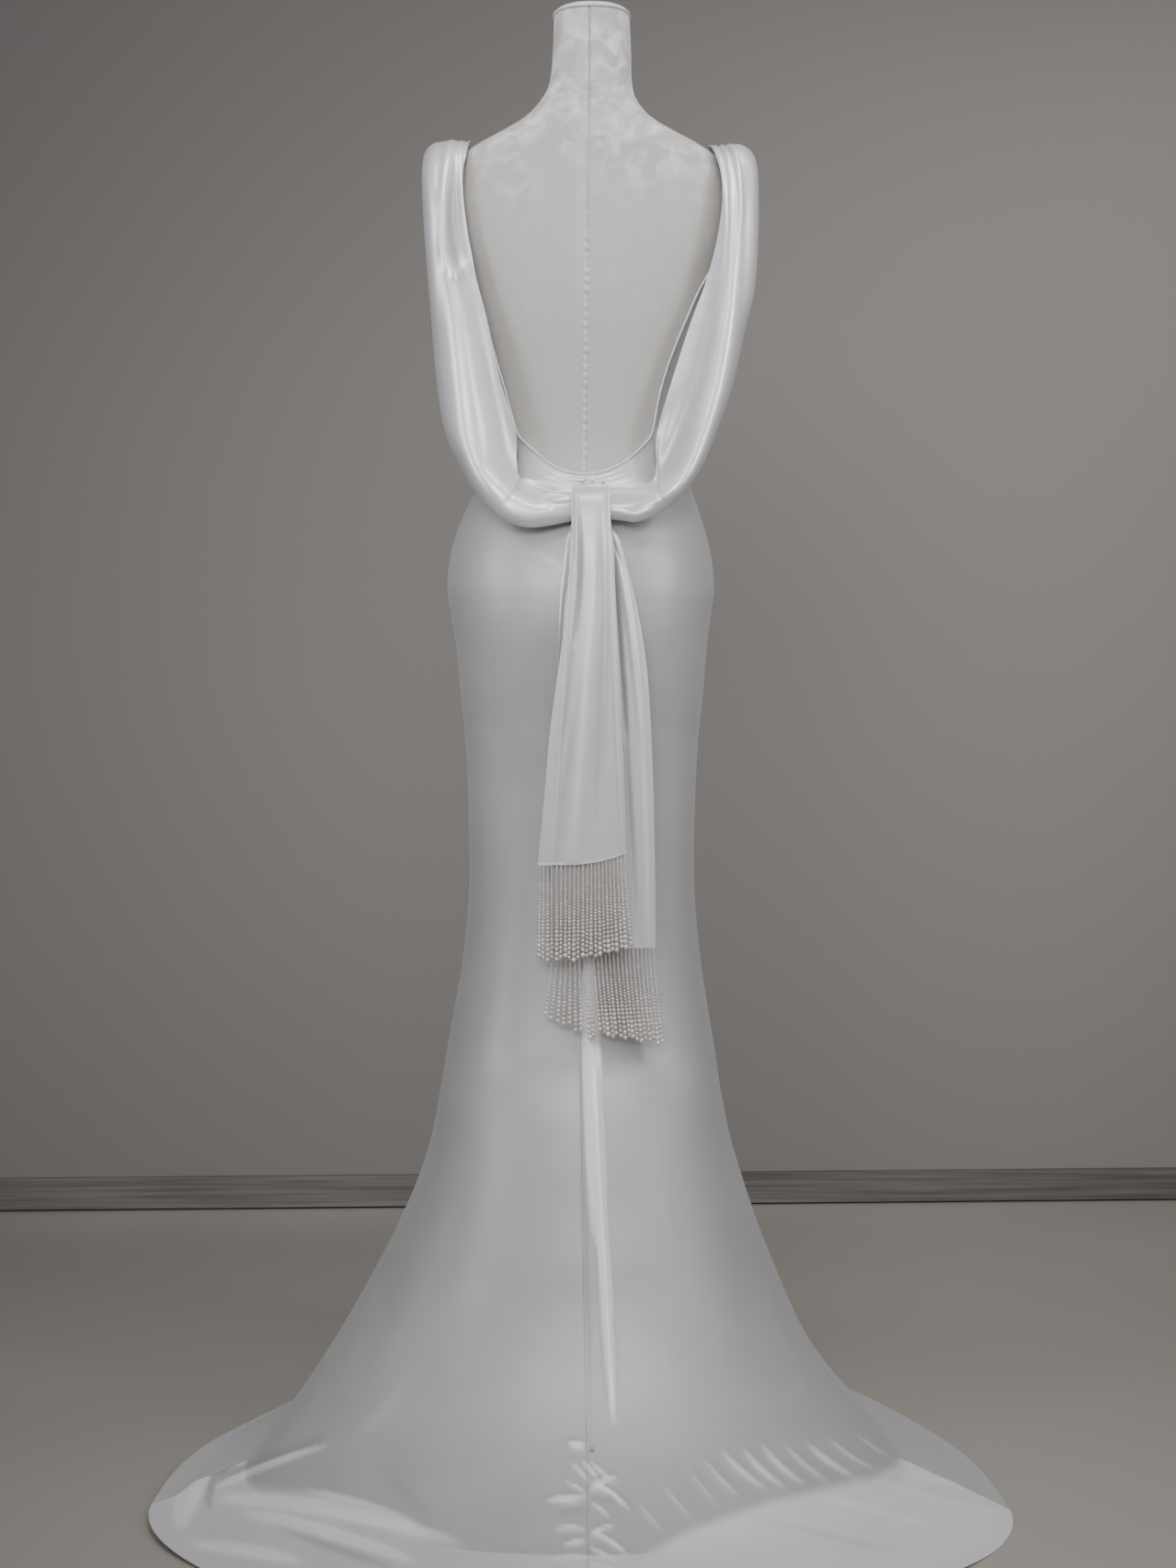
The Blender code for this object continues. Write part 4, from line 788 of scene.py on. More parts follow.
# Creases of the front: x and height of the start, middle and end, width, rise
FRONT_CREASES = [
    (-0.030, 0.640, -0.034, 0.360, -0.052, 0.060, 0.016, 0.0040),
    (0.046, 0.560, 0.058, 0.320, 0.090, 0.050, 0.018, 0.0036),
    (-0.090, 0.620, -0.112, 0.340, -0.170, 0.070, 0.022, 0.0030),
    (0.108, 0.600, 0.130, 0.330, 0.190, 0.080, 0.020, 0.0032),
    (0.006, 0.300, 0.010, 0.160, 0.018, 0.030, 0.012, -0.0026),
    (-0.064, 0.260, -0.080, 0.140, -0.110, 0.030, 0.012, 0.0028),
    (0.092, 1.070, 0.098, 0.980, 0.096, 0.880, 0.026, 0.0014),
    (-0.098, 1.060, -0.102, 0.980, -0.098, 0.870, 0.026, 0.0014),
]
SKIRT_CREST = 0.0017
BEHIND = (3.0, 0.78)       # how far behind the form's axis and how high these tables look from
TRAIN_HUB = -0.25          # y of the point that the train's wrinkles spread from
TRAIN_RIPPLE = 0.0045
# Curls of the hem: turn round the hub in radians, width, height
HEM_CURLS = [(-1.45, 0.40, 0.0125), (-0.95, 0.20, 0.0040), (1.50, 0.35, 0.0050), (0.70, 0.18, 0.0030)]

# The same ivory satin as the bodice, painted darker: painted shade of the hanging skirt; the lying train gets painted
# light from the lustre attribute.
skirt_satin = satin_material("skirt_satin", (0.57, 0.56, 0.565), (0.545, 0.535, 0.54), (0.99, 0.985, 1.0), 0.42,
                             crumple=0.0010, gloss=0.25, sheen=0.22)


def skirt_profile(count):
    """Even rows of rings, from the waist over the hips to the floor and the hem."""
    rings = [form_ring(height, SKIRT_OUTSIDE) for height in (WAIST_HEIGHT - HALF_SEAM, 1.110, 1.080, 1.050, 1.020)]
    rings += SKIRT_RINGS
    landing = np.array(SKIRT_RINGS[-1])
    rings += [tuple(landing + (np.array(HEM_RING) - landing) * share) for share in (0.10, 0.38, 0.70, 1.0)]
    return spaced(curve_through(rings, 16), count, [0, 2, 6])


def skirt_panel(name, angles, count, side):
    """One panel of the skirt, between two seams."""
    profile = skirt_profile(count)
    outer = np.array([ring_points(angles, *ring) for ring in profile])
    landed = int(np.argmax(profile[:, 6] < SKIRT_RINGS[-1][6]))
    share = np.clip((np.arange(count) - landed) / (count - 1 - landed), 0.0, 1.0)[:, None]
    turn = np.arctan2(outer[..., 0], TRAIN_HUB - outer[..., 1])
    wave = np.sin(9 * turn + 1.2) * np.sin(4 * turn + 0.4) * 0.5 + 0.5
    outer[..., 2] += TRAIN_RIPPLE * wave * np.sin(math.pi * share) * np.clip(-outer[..., 1] / 0.15, 0.0, 1.0)
    for middle, width, height in HEM_CURLS:
        curl = height * np.exp(-((turn - middle) / width) ** 2)
        outer[..., 2] += curl * np.clip((share - 0.68) / 0.32, 0.0, 1.0) ** 1.5
    if side:
        nearness = BEHIND[0] / (BEHIND[0] + outer[..., 1:2])
        seen = np.array((0.0, BEHIND[1])) + (outer[..., [0, 2]] - (0.0, BEHIND[1])) * nearness
        outer, relief = add_creases(outer, seen, SKIRT_FOLDS)
        outer, relief = add_creases(outer, seen, RIDGE + RIGHT_PULLS + LEFT_PULLS + SEAM_PUCKERS)
        # Painted light: cloth that lies on the floor, below the landing line or close to the floor, is painted
        # lighter, more so towards the right.
        landing_x, landing_height = np.array(LANDING).T
        laid = np.clip((np.interp(seen[..., 0], landing_x, landing_height) - seen[..., 1]) / 0.016, 0.0, 1.0)
        laid = np.maximum(laid, np.clip((0.014 - outer[..., 2]) / 0.010, 0.0, 1.0) * (share > 0.02))
        # Painted highlight on the crests of the ridge, pulls and puckers; painted shade over the hanging cloth from
        # 0.10 to 0.76 m high and behind the rear fringe's pearls.
        shine = np.clip(relief / SKIRT_CREST, -0.5, 1.0)
        hanging = np.interp(outer[..., 2], (0.10, 0.22, 0.60, 0.76), (0.15, 0.45, 0.45, 0.0))
        behind_pearls = np.exp(-((seen[..., 0] - 0.020) / 0.066) ** 6 - ((seen[..., 1] - 0.515) / 0.058) ** 6)
        lustre = shine - np.maximum(hanging, behind_pearls) * (shine < 0.3) + laid * np.interp(seen[..., 0], (-0.2, 0.1), (0.58, 1.0))
    else:
        outer, relief = add_creases(outer, outer[..., [0, 2]], FRONT_CREASES)
        # Painted highlights on the crests and painted shade in the hollows of the front's creases, at a lower
        # strength.
        lustre = np.clip(relief / CREST, -0.8, 0.9) * 0.4
    lying = np.clip((0.010 - profile[:, 0]) / 0.008, 0.0, 1.0)[:, None]
    outer[..., 2] = np.maximum(outer[..., 2], CLOTH * 1.2 * lying)
    outer[..., 0] += HALF_SEAM if (side or 180 - angles[0]) > 0 else -HALF_SEAM
    outer[..., 1] += -HALF_SEAM if side else HALF_SEAM
    sewn_edges[name.replace("satin", "hem_stitches")] = outer[-4, 3:-3]
    return add_cloth(name, outer, skirt_satin, floor_line=0.0002, lustre=np.clip(lustre, -1.0, 1.0))


half_angles = 90 * np.linspace(0.0, 1.0, 124) ** 1.8
for name, node, angles, side in (
        ("skirt_left_satin", "skirt_back_left", -half_angles[::-1], -1),
        ("skirt_right_satin", "skirt_back_right", half_angles, 1),
        ("skirt_front_right_satin", "skirt_front_right", np.linspace(90, 180, 48), 0),
        ("skirt_front_left_satin", "skirt_front_left", np.linspace(180, 270, 48), 0)):
    panel = skirt_panel(name, angles, 280 if side else 200, side)
    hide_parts(node)


# Drapes.  Two bias bands of satin, folded lengthwise, gathered at the shoulders and swung
# clear of the arms to the middle of the back.
# inner x, y, z, ridge x, y, z, outer x, y, z
LEFT_DRAPE = [
    (-0.150, 0.047, 1.5460, -0.171, 0.038, 1.5460, -0.1910, 0.020, 1.544),
    (-0.149, 0.036, 1.5790, -0.176, 0.032, 1.5830, -0.2040, 0.019, 1.568),
    (-0.148, 0.000, 1.5895, -0.177, 0.000, 1.5900, -0.2060, 0.000, 1.573),
    (-0.150, -0.036, 1.5720, -0.178, -0.044, 1.5680, -0.2080, -0.020, 1.558),
    (-0.156, -0.056, 1.5230, -0.178, -0.073, 1.5140, -0.2070, -0.035, 1.530),
    (-0.149, -0.068, 1.4600, -0.176, -0.088, 1.4490, -0.2020, -0.042, 1.467),
    (-0.137, -0.078, 1.4000, -0.170, -0.099, 1.3900, -0.1965, -0.050, 1.405),
    (-0.123, -0.087, 1.3460, -0.161, -0.110, 1.3360, -0.1925, -0.058, 1.353),
    (-0.107, -0.096, 1.2740, -0.154, -0.123, 1.2670, -0.1860, -0.068, 1.282),
    (-0.088, -0.103, 1.2100, -0.150, -0.134, 1.2080, -0.1735, -0.082, 1.212),
    (-0.087, -0.104, 1.1740, -0.136, -0.143, 1.1670, -0.1540, -0.100, 1.165),
    (-0.084, -0.106, 1.1560, -0.115, -0.150, 1.1380, -0.1330, -0.122, 1.126),
    (-0.070, -0.110, 1.1500, -0.092, -0.152, 1.1110, -0.1080, -0.137, 1.098),
    (-0.052, -0.112, 1.1450, -0.068, -0.151, 1.1000, -0.0760, -0.140, 1.087),
    (-0.034, -0.111, 1.1400, -0.040, -0.146, 1.1040, -0.0400, -0.137, 1.091),
    (-0.00015, -0.1058, 1.1380, -0.00015, -0.138, 1.1120, -0.00015, -0.133, 1.099),
]
RIGHT_DRAPE = [
    (0.150, 0.047, 1.5460, 0.172, 0.038, 1.5460, 0.1920, 0.020, 1.544),
    (0.152, 0.036, 1.5770, 0.179, 0.032, 1.5790, 0.2070, 0.019, 1.563),
    (0.152, 0.000, 1.5850, 0.181, 0.000, 1.5850, 0.2100, 0.000, 1.568),
    (0.158, -0.036, 1.5660, 0.183, -0.044, 1.5640, 0.2120, -0.020, 1.552),
    (0.167, -0.054, 1.5200, 0.182, -0.071, 1.5130, 0.2120, -0.032, 1.529),
    (0.160, -0.067, 1.4570, 0.182, -0.087, 1.4500, 0.2100, -0.040, 1.465),
    (0.145, -0.078, 1.3980, 0.178, -0.099, 1.3860, 0.2040, -0.048, 1.397),
    (0.125, -0.089, 1.3430, 0.171, -0.111, 1.3300, 0.1900, -0.058, 1.341),
    (0.102, -0.099, 1.2710, 0.159, -0.125, 1.2610, 0.1740, -0.072, 1.273),
    (0.084, -0.104, 1.2080, 0.142, -0.137, 1.2060, 0.1555, -0.090, 1.216),
    (0.082, -0.105, 1.1700, 0.124, -0.147, 1.1660, 0.1370, -0.110, 1.168),
    (0.079, -0.107, 1.1500, 0.106, -0.152, 1.1360, 0.1190, -0.128, 1.137),
    (0.064, -0.111, 1.1440, 0.084, -0.152, 1.1190, 0.0980, -0.136, 1.110),
    (0.048, -0.112, 1.1430, 0.058, -0.151, 1.1100, 0.0640, -0.139, 1.094),
    (0.030, -0.111, 1.1400, 0.038, -0.146, 1.1110, 0.0380, -0.137, 1.096),
    (0.00015, -0.1058, 1.1380, 0.00015, -0.138, 1.1140, 0.00015, -0.133, 1.100),
]
DRAPE_FOLD = 0.010         # hollow between the two layers of a folded band
# share of the band's length, and how far across the under layer reaches there
DRAPE_TUCK = ((0.0, 0.1, 0.6, 0.8, 1.0), (0.20, 0.45, 0.45, 0.25, 0.25))
DRAPE_ROLL = 0.22          # rise of the round between fold and ridge, as a share of its width
DRAPE_SHOULDER = 0.05      # the same between ridge and inner edge
DRAPE_DIP = 0.003          # how far the cloth sinks before its inner edge
# Creases as seen from behind: x and height of the start, middle and end, width, rise
LEFT_CREASES = [
    (-0.168, 1.612, -0.182, 1.488, -0.177, 1.409, 0.0056, 0.0036),
    (-0.179, 1.444, -0.163, 1.364, -0.141, 1.444, 0.0050, 0.0030),
    (-0.157, 1.612, -0.164, 1.513, -0.141, 1.409, 0.0045, 0.0038),
    (-0.167, 1.531, -0.166, 1.458, -0.154, 1.399, 0.0090, -0.0060),
    (-0.145, 1.601, -0.149, 1.561, -0.149, 1.519, 0.0034, 0.0024),
    (-0.192, 1.578, -0.194, 1.470, -0.185, 1.353, 0.0067, 0.0016),
    (-0.156, 1.399, -0.155, 1.249, -0.095, 1.116, 0.0235, 0.0040),
    (-0.181, 1.399, -0.177, 1.261, -0.148, 1.147, 0.0112, -0.0014),
    (-0.131, 1.353, -0.110, 1.249, -0.090, 1.169, 0.0134, -0.0016),
    (-0.110, 1.147, -0.081, 1.096, -0.013, 1.115, 0.0090, 0.0042),
    (-0.076, 1.194, -0.076, 1.151, -0.097, 1.116, 0.0022, -0.0026),
    (-0.059, 1.114, -0.052, 1.137, -0.013, 1.127, 0.0040, 0.0032),
    (-0.059, 1.127, -0.048, 1.102, -0.013, 1.118, 0.0038, 0.0030),
    (-0.050, 1.120, -0.039, 1.120, -0.013, 1.124, 0.0045, -0.0032),
    (-0.092, 1.089, -0.054, 1.082, -0.015, 1.100, 0.0078, 0.0016),
    (-0.071, 1.145, -0.044, 1.134, -0.017, 1.131, 0.0034, -0.0016),
]
RIGHT_CREASES = [
    (0.191, 1.612, 0.180, 1.411, 0.168, 1.341, 0.0090, 0.0044),
    (0.178, 1.446, 0.174, 1.284, 0.122, 1.164, 0.0123, 0.0034),
    (0.155, 1.601, 0.181, 1.500, 0.164, 1.399, 0.0029, 0.0028),
    (0.164, 1.601, 0.188, 1.507, 0.171, 1.376, 0.0027, 0.0028),
    (0.173, 1.601, 0.195, 1.531, 0.184, 1.446, 0.0027, 0.0024),
    (0.160, 1.601, 0.185, 1.504, 0.167, 1.388, 0.0018, -0.0022),
    (0.169, 1.601, 0.192, 1.519, 0.178, 1.423, 0.0018, -0.0022),
    (0.203, 1.578, 0.204, 1.446, 0.195, 1.330, 0.0078, 0.0018),
    (0.152, 1.376, 0.132, 1.261, 0.102, 1.169, 0.0157, -0.0020),
    (0.114, 1.261, 0.091, 1.203, 0.084, 1.169, 0.0067, 0.0018),
    (0.140, 1.203, 0.115, 1.116, 0.056, 1.115, 0.0090, 0.0042),
    (0.085, 1.203, 0.079, 1.169, 0.088, 1.118, 0.0022, -0.0024),
    (0.050, 1.112, 0.036, 1.112, 0.017, 1.115, 0.0050, 0.0010),
    (0.080, 1.125, 0.056, 1.133, 0.018, 1.136, 0.0039, 0.0020),
    (0.067, 1.091, 0.045, 1.092, 0.017, 1.099, 0.0067, 0.0016),
    (0.105, 1.130, 0.075, 1.106, 0.035, 1.114, 0.0085, -0.0036),
]
drape_satin = satin_material("drape_satin", (0.765, 0.76, 0.79), (0.735, 0.73, 0.76), (1.0, 0.99, 1.0), 0.32,
                             crumple=0.0005, gloss=0.40, sheen=0.20)


def raised(start, end, share, rise, body_side):
    """A point between two others, moved off the line away from the body."""
    span = end - start
    away = span * (body_side @ span) / (span @ span) - body_side
    return start + span * share + away / np.linalg.norm(away) * rise


for name, node, table, creases, side in (
        ("drape_left_satin", "drape_left", LEFT_DRAPE, LEFT_CREASES, -1),
        ("drape_right_satin", "drape_right", RIGHT_DRAPE, RIGHT_CREASES, 1)):
    stations = curve_through(table, 14)
    grid = []
    for index, row in enumerate(stations):
        inner_edge, ridge, fold = row[0:3], row[3:6], row[6:9]
        done = index / (len(stations) - 1)
        body_side = np.array((ridge[0] * 0.8, 0.0, min(ridge[2], SHOULDER_HEIGHT - 0.03))) - ridge
        body_side /= np.linalg.norm(body_side)
        tuck = np.interp(done, DRAPE_TUCK[0], DRAPE_TUCK[1])
        under = fold + (inner_edge - fold) * tuck + body_side * DRAPE_FOLD * tuck
        roll = raised(fold, ridge, 0.5, DRAPE_ROLL * np.linalg.norm(ridge - fold), body_side)
        width = np.linalg.norm(inner_edge - ridge)
        shoulder = raised(ridge, inner_edge, 0.3, DRAPE_SHOULDER * width, body_side)
        sunk = raised(ridge, inner_edge, 0.7, -DRAPE_DIP * min(1.0, done * 6), body_side)
        section = curve_through([under, fold, roll, ridge, shoulder, sunk, inner_edge], 14)
        section = spaced(section, 90, [0, 1, 2])
        for smoothing in range(70):
            section[1:-1] = 0.5 * section[1:-1] + 0.25 * (section[:-2] + section[2:])
        grid.append(section if side < 0 else section[::-1])
    outer = np.array(grid)
    over = np.linspace(0, 1, 90) if side < 0 else np.linspace(1, 0, 90)
    outer, relief = add_creases(outer, outer[..., [0, 2]] + (over < 0.15)[None, :, None] * 9.0, creases)
    # Painted highlights on the crests of the creases and painted shade in their hollows.
    drape = add_cloth(name, outer, drape_satin, lustre=np.clip(relief / CREST, -1.0, 1.0))
    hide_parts(node)


# Sash.  The two ends of the sash hang one over the other from the knot, in long soft folds,
# creamier than the gown.
# height, left x, right x, y of the outside
FRONT_TAIL = [
    (1.1406, -0.0170, 0.0240, -0.1107),
    (1.1394, -0.0180, 0.0245, -0.1229),
    (1.1338, -0.0190, 0.0255, -0.1352),
    (1.1230, -0.0190, 0.0260, -0.1444),
    (1.1080, -0.0190, 0.0265, -0.1493),
    (1.0850, -0.0187, 0.0280, -0.1530),
    (1.0580, -0.0210, 0.0310, -0.1560),
    (1.0030, -0.0250, 0.0330, -0.1575),
    (0.9480, -0.0310, 0.0360, -0.1575),
    (0.8930, -0.0390, 0.0390, -0.1570),
    (0.8380, -0.0460, 0.0410, -0.1560),
    (0.7610, -0.0530, 0.0440, -0.1545),
    (0.6970, -0.0600, 0.0460, -0.1535),
]
REAR_TAIL = [
    (1.1110, -0.0160, 0.0220, -0.1192),
    (1.0900, -0.0220, 0.0290, -0.1300),
    (1.0680, -0.0270, 0.0400, -0.1400),
    (1.0380, -0.0300, 0.0480, -0.1440),
    (1.0150, -0.0330, 0.0540, -0.1455),
    (0.9590, -0.0350, 0.0650, -0.1465),
    (0.9030, -0.0370, 0.0720, -0.1465),
    (0.8120, -0.0410, 0.0770, -0.1460),
    (0.6990, -0.0440, 0.0800, -0.1455),
    (0.5850, -0.0460, 0.0810, -0.1450),
]
FRONT_HEM = ((-0.0610, -0.0140, 0.0140, 0.0300, 0.0460), (0.6845, 0.6850, 0.6885, 0.6930, 0.6990))  # x, height
# Creases as seen from behind: x and height of the start, middle and end, width, rise
FRONT_TAIL_CREASES = [
    (-0.022, 1.169, -0.017, 1.086, -0.021, 1.034, 0.0020, 0.0032),
    (-0.021, 1.058, -0.024, 0.959, -0.042, 0.684, 0.0022, 0.0024),
    (-0.015, 1.169, -0.013, 1.102, -0.014, 1.045, 0.0019, 0.0026),
    (-0.018, 1.147, -0.015, 1.091, -0.018, 1.036, 0.0012, -0.0018),
    (-0.013, 1.119, -0.004, 1.047, -0.016, 0.948, 0.0029, -0.0046),
    (-0.014, 0.992, -0.021, 0.904, -0.035, 0.794, 0.0038, -0.0022),
    (-0.013, 1.080, -0.014, 0.992, -0.030, 0.849, 0.0029, 0.0018),
    (0.005, 1.080, 0.012, 1.020, 0.001, 0.900, 0.0090, 0.0016),
    (0.003, 0.992, -0.006, 0.838, -0.021, 0.662, 0.0101, 0.0032),
    (0.017, 1.125, 0.023, 0.948, 0.012, 0.728, 0.0056, -0.0020),
    (0.023, 1.169, 0.027, 1.116, 0.024, 1.080, 0.0027, 0.0034),
    (0.026, 1.080, 0.031, 0.926, 0.043, 0.662, 0.0029, 0.0024),
    (-0.010, 0.904, -0.024, 0.783, -0.037, 0.662, 0.0045, -0.0016),
]
REAR_TAIL_CREASES = [
    (0.027, 1.080, 0.036, 1.055, 0.047, 1.027, 0.0015, -0.0018),
    (0.029, 1.069, 0.037, 0.948, 0.045, 0.838, 0.0040, -0.0046),
    (0.040, 0.904, 0.049, 0.750, 0.056, 0.596, 0.0045, -0.0028),
    (0.031, 1.086, 0.055, 0.970, 0.065, 0.838, 0.0050, 0.0034),
    (0.063, 0.882, 0.071, 0.728, 0.073, 0.563, 0.0056, 0.0024),
    (-0.024, 1.075, -0.034, 0.992, -0.039, 0.882, 0.0034, 0.0026),
    (-0.028, 1.014, -0.032, 0.948, -0.035, 0.838, 0.0018, -0.0020),
]
sash_satin = satin_material("sash_satin", (0.75, 0.74, 0.74), (0.70, 0.69, 0.69), (0.97, 0.965, 0.98), 0.36,
                            weave=0.00016, crumple=0.0006, gloss=0.30)
for name, node, table, creases, flat, area in (
        ("sash_front_satin", "tail_front", FRONT_TAIL, FRONT_TAIL_CREASES, (0.11, 0.47), 0.0368),
        ("sash_rear_satin", "tail_rear", REAR_TAIL, REAR_TAIL_CREASES, (0.13, 0.55), 0.0575)):
    stations = spaced(curve_through(table, 12), 170, [0, 3])
    over = np.linspace(0.0, 1.0, 84)
    outer = np.zeros((170, 84, 3))
    for row, (height, left, right, depth) in enumerate(stations):
        outer[row, :, 0] = left + (right - left) * over
        outer[row, :, 1] = depth
        outer[row, :, 2] = height
    if node == "tail_front":
        lowered = np.interp(outer[..., 0], *FRONT_HEM) - table[-1][0]
        outer[..., 2] += lowered * (np.linspace(0.0, 1.0, 170)[:, None] ** 8)
    outer, relief = add_creases(outer, outer[..., [0, 2]], creases)
    # Painted highlights on the crests of the creases and painted shade in their hollows.
    shine = np.clip(relief / CREST, -1.0, 1.0)
    # Painted shadow of the front fringe's pearls on the rear tail, below the front tail's hem.
    if node == "tail_rear":
        shine -= 0.9 * np.exp(-((outer[..., 0] + 0.008) / 0.056) ** 8 - ((outer[..., 2] - 0.620) / 0.064) ** 8)
    sewn_edges[name.replace("satin", "hem_stitches")] = outer[-4, 3:-3]
    tail = add_cloth(name, outer, sash_satin, lustre=np.clip(shine, -1.0, 1.0))
    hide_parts(node)


# Fringe.  Strands of pearls threaded through a tape under each tail's hem, with the pearls
# growing from the tape to the tips.
# strands, share of the hem from and to, tip x from and to, tip height from and to
FRONT_FRINGE = [
    (4, 0.02, 0.155, -0.0590, -0.0433, 0.5690, 0.5690),
    (8, 0.215, 0.560, -0.0381, -0.0014, 0.5672, 0.5715),
    (10, 0.605, 0.980, 0.0038, 0.0510, 0.5735, 0.5855),
]
REAR_FRINGE = [
    (7, 0.03, 0.280, -0.0510, -0.0082, 0.5012, 0.4825),
    (2, 0.320, 0.360, 0.0016, 0.0066, 0.4775, 0.4770),
    (16, 0.410, 0.980, 0.0154, 0.0889, 0.4814, 0.4683),
]
FRONT_TIP_DEPTH = -0.1560
REAR_TIP_DEPTH = -0.1590
PEARL_TOP = 0.0025         # diameter of the first and of the last pearl of a strand
PEARL_TIP = 0.0061
PEARL_PITCH = 1.10         # spacing of the pearls as a share of their diameter
FRINGE_TAPE = 0.0035
pearl, tree, shader = new_material("pearl", {
    "Roughness": 0.18, "Specular IOR Level": 0.8, "Coat Weight": 0.8, "Coat Roughness": 0.06,
    "Metallic": 0.45,
})
tone = tree.node("ShaderNodeAttribute", output=2, attribute_name="tone", attribute_type="GEOMETRY")
place = tree.node("ShaderNodeTexCoord", output=3)
lustre = tone * 0.8 + place.noise(220.0, 2.0).spread(0.3, 0.7, 0.0, 0.2)
plug(shader, "Base Color", lustre.mix((0.68, 0.61, 0.53), (0.95, 0.91, 0.86)))
plug(shader, "Normal", bump(tree, place.noise(700.0), 0.0002, 0.2))


def points_tree():
    """Geometry nodes that set a shape on each point, at the point's own size."""
    tree = bpy.data.node_groups.new("shapes_on_points", "GeometryNodeTree")
    for name, kind in (("Points", "NodeSocketGeometry"), ("Shape", "NodeSocketObject"),
                       ("Material", "NodeSocketMaterial")):
        tree.interface.new_socket(name, in_out="INPUT", socket_type=kind)
    tree.interface.new_socket("Shapes", in_out="OUTPUT", socket_type="NodeSocketGeometry")
    given = tree.nodes.new("NodeGroupInput")
    result = tree.nodes.new("NodeGroupOutput")
    shape = tree.nodes.new("GeometryNodeObjectInfo")
    size = tree.nodes.new("GeometryNodeInputNamedAttribute")
    size.data_type = "FLOAT"
    size.inputs["Name"].default_value = "size"
    place = tree.nodes.new("GeometryNodeInstanceOnPoints")
    real = tree.nodes.new("GeometryNodeRealizeInstances")
    finish = tree.nodes.new("GeometryNodeSetMaterial")
    for start, end in ((given.outputs["Points"], place.inputs["Points"]),
                       (given.outputs["Shape"], shape.inputs["Object"]),
                       (shape.outputs["Geometry"], place.inputs["Instance"]),
                       (size.outputs["Attribute"], place.inputs["Scale"]),
                       (place.outputs["Instances"], real.inputs["Geometry"]),
                       (real.outputs["Geometry"], finish.inputs["Geometry"]),
                       (given.outputs["Material"], finish.inputs["Material"]),
                       (finish.outputs["Geometry"], result.inputs["Shapes"])):
        tree.links.new(start, end)
    return tree


shapes_on_points = points_tree()


def unit_shape(name, make, **settings):
    """An object of one metre across, to be set on points."""
    body = bmesh.new()
    make(body, radius=0.5, **settings)
    mesh = bpy.data.meshes.new(name)
    body.to_mesh(mesh)
    body.free()
    mesh.shade_smooth()
    shape = bpy.data.objects.new(name, mesh)
    bpy.context.scene.collection.objects.link(shape)
    return shape


def set_on_points(name, places, diameters, shape, material):
    """One object of a shape repeated at these places, each copy with its own size and tone."""
    mesh = bpy.data.meshes.new(name + "_points")
    mesh.from_pydata([tuple(place) for place in places], [], [])
    mesh.attributes.new("size", "FLOAT", "POINT").data.foreach_set("value", diameters)
    mesh.attributes.new("tone", "FLOAT", "POINT").data.foreach_set("value", chance.uniform(0, 1, len(places)))
    points = bpy.data.objects.new(name + "_points", mesh)
    bpy.context.scene.collection.objects.link(points)
    modifier = points.modifiers.new("shapes", "NODES")
    modifier.node_group = shapes_on_points
    for item in shapes_on_points.interface.items_tree:
        if item.in_out == "INPUT" and item.name == "Shape":
            modifier[item.identifier] = shape
        if item.in_out == "INPUT" and item.name == "Material":
            modifier[item.identifier] = material
    bpy.context.view_layer.update()
    ready = points.evaluated_get(bpy.context.evaluated_depsgraph_get())
    made = bpy.data.objects.new(name, bpy.data.meshes.new_from_object(ready))
    bpy.context.scene.collection.objects.link(made)
    bpy.data.objects.remove(points, do_unlink=True)
    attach(made, "root")
    return made


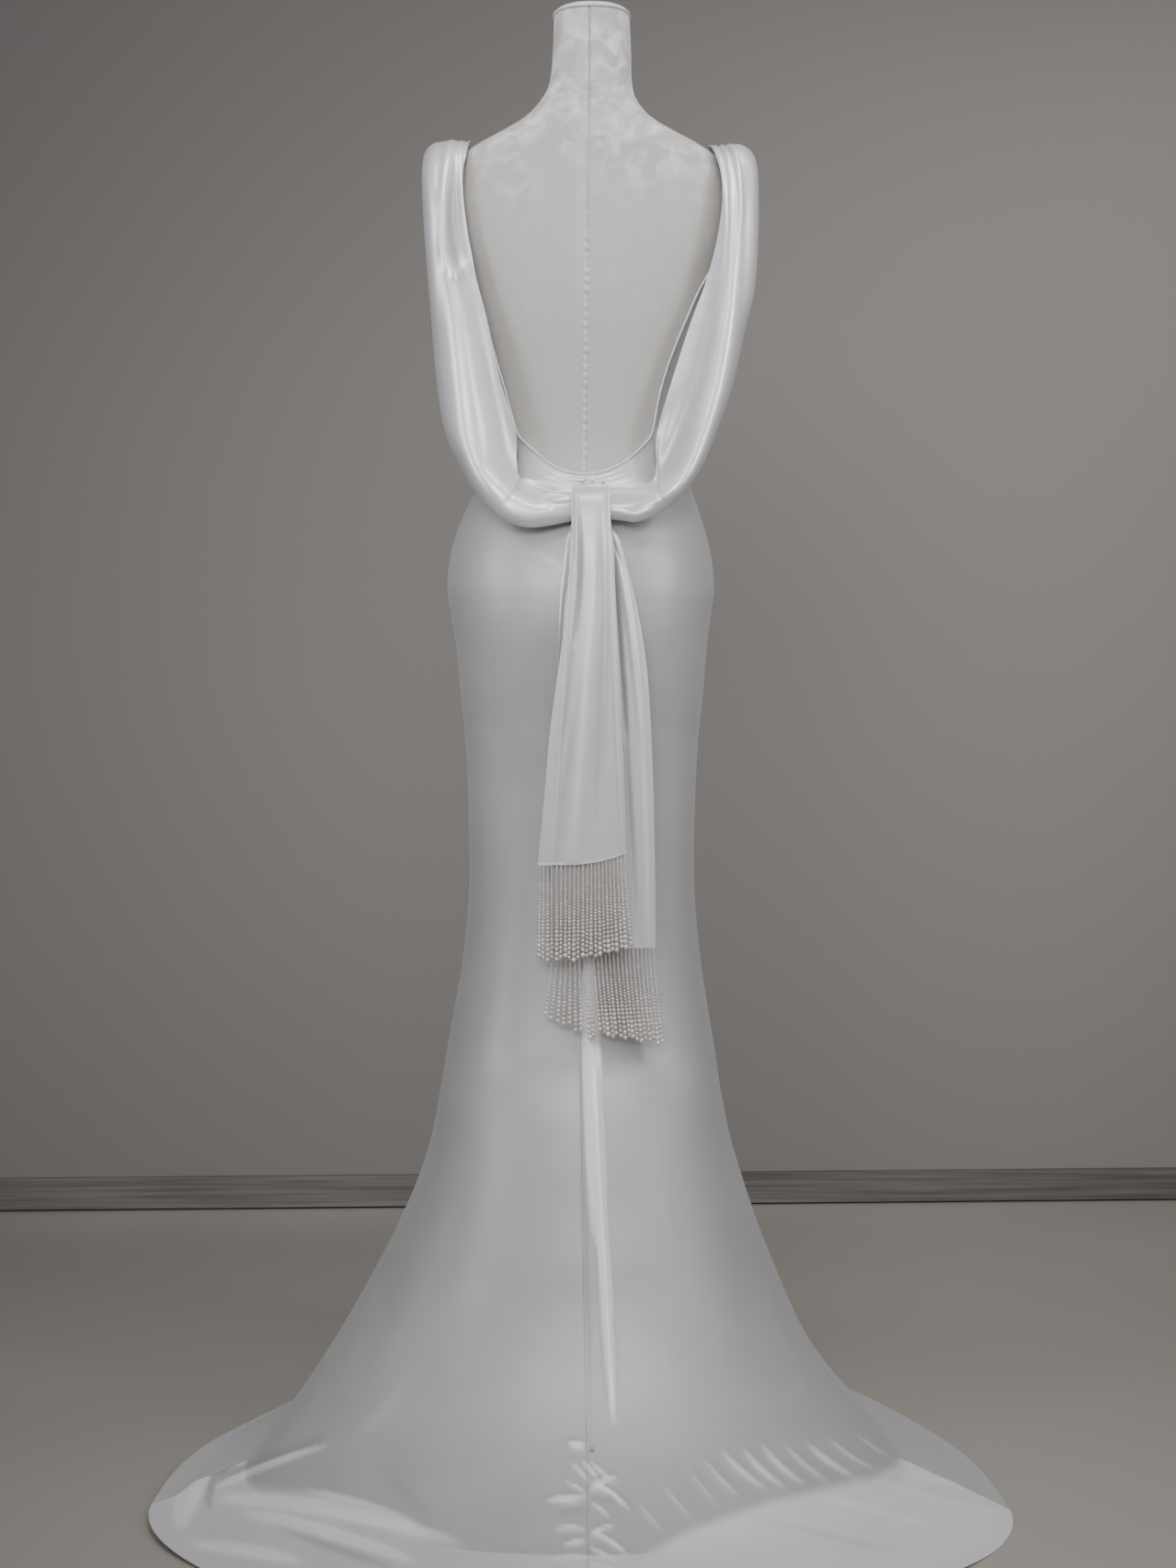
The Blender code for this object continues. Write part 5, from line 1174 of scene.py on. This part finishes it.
unit_pearl = unit_shape("unit_pearl", bmesh.ops.create_uvsphere, u_segments=8, v_segments=6)
chance = np.random.default_rng(7)
for name, node, hem, strands, tip_depth in (
        ("pearl_fringe_front", "fringe_front", FRONT_TAIL[-1], FRONT_FRINGE, FRONT_TIP_DEPTH),
        ("pearl_fringe_rear", "fringe_rear", REAR_TAIL[-1], REAR_FRINGE, REAR_TIP_DEPTH)):
    hem_height, hem_left, hem_right, hem_depth = hem
    places = []
    diameters = []
    for count, root_from, root_to, tip_from, tip_to, low_from, low_to in strands:
        for index in range(count):
            across = index / (count - 1)
            root = hem_left + (hem_right - hem_left) * (root_from + (root_to - root_from) * across)
            tip_x = tip_from + (tip_to - tip_from) * across + chance.normal(0, 0.0004)
            tip_z = low_from + (low_to - low_from) * across + chance.normal(0, 0.0008)
            layer = 0.0022 * (index % 2) - 0.0011
            hem_here = np.interp(root, *FRONT_HEM) if node == "fringe_front" else hem_height
            top = hem_here - 0.0016
            length = top - tip_z
            down = 0.0
            while down < length:
                share = down / length
                diameter = (PEARL_TOP + (PEARL_TIP - PEARL_TOP) * share ** 1.8) * (1.0 - 0.08 * (index % 2))
                x = root + (tip_x - root) * share ** 1.3
                y = hem_depth + 0.0010 + (tip_depth + 0.0011 - hem_depth - 0.0011) * share + layer * share
                places.append((x, y, top - down))
                diameters.append(diameter * chance.normal(1.0, 0.025))
                down += diameter * PEARL_PITCH
    threaded = set_on_points(name, places, diameters, unit_pearl, pearl)
    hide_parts(node)
    tape_rows = np.zeros((2, 40, 3))
    tape_rows[..., 0] = np.linspace(hem_left, hem_right, 40)
    tape_rows[..., 1] = hem_depth - np.array(((0.0002,), (0.0004,)))
    tape_rows[..., 2] = np.array(((0.0012,), (-0.0018,))) + (
        np.interp(tape_rows[..., 0], *FRONT_HEM) if node == "fringe_front" else hem_height)
    tape = add_cloth(name + "_tape", tape_rows, sash_satin, thickness=0.0016)
bpy.data.objects.remove(unit_pearl, do_unlink=True)


# Stitches.  Small prick stitches of silk, sewn by hand beside the turned-in edges of the neck
# and the back, the tails' ends and the skirt's hem.
STITCH = 0.0008
STITCH_PITCH = 0.0050
silk, tree, shader = new_material("ivory_silk", {"Roughness": 0.5})
place = tree.node("ShaderNodeTexCoord", output=3)
plug(shader, "Base Color", place.noise(900.0).spread(0.3, 0.7).mix((0.56, 0.55, 0.54), (0.70, 0.69, 0.68)))
unit_stitch = unit_shape("unit_stitch", bmesh.ops.create_icosphere, subdivisions=1)
for name, line in sewn_edges.items():
    length = np.linalg.norm(np.diff(line, axis=0), axis=1).sum()
    row = spaced(line, int(length / STITCH_PITCH), [0, 1, 2])
    stitches = set_on_points(name, row, np.full(len(row), STITCH), unit_stitch, silk)
bpy.data.objects.remove(unit_stitch, do_unlink=True)
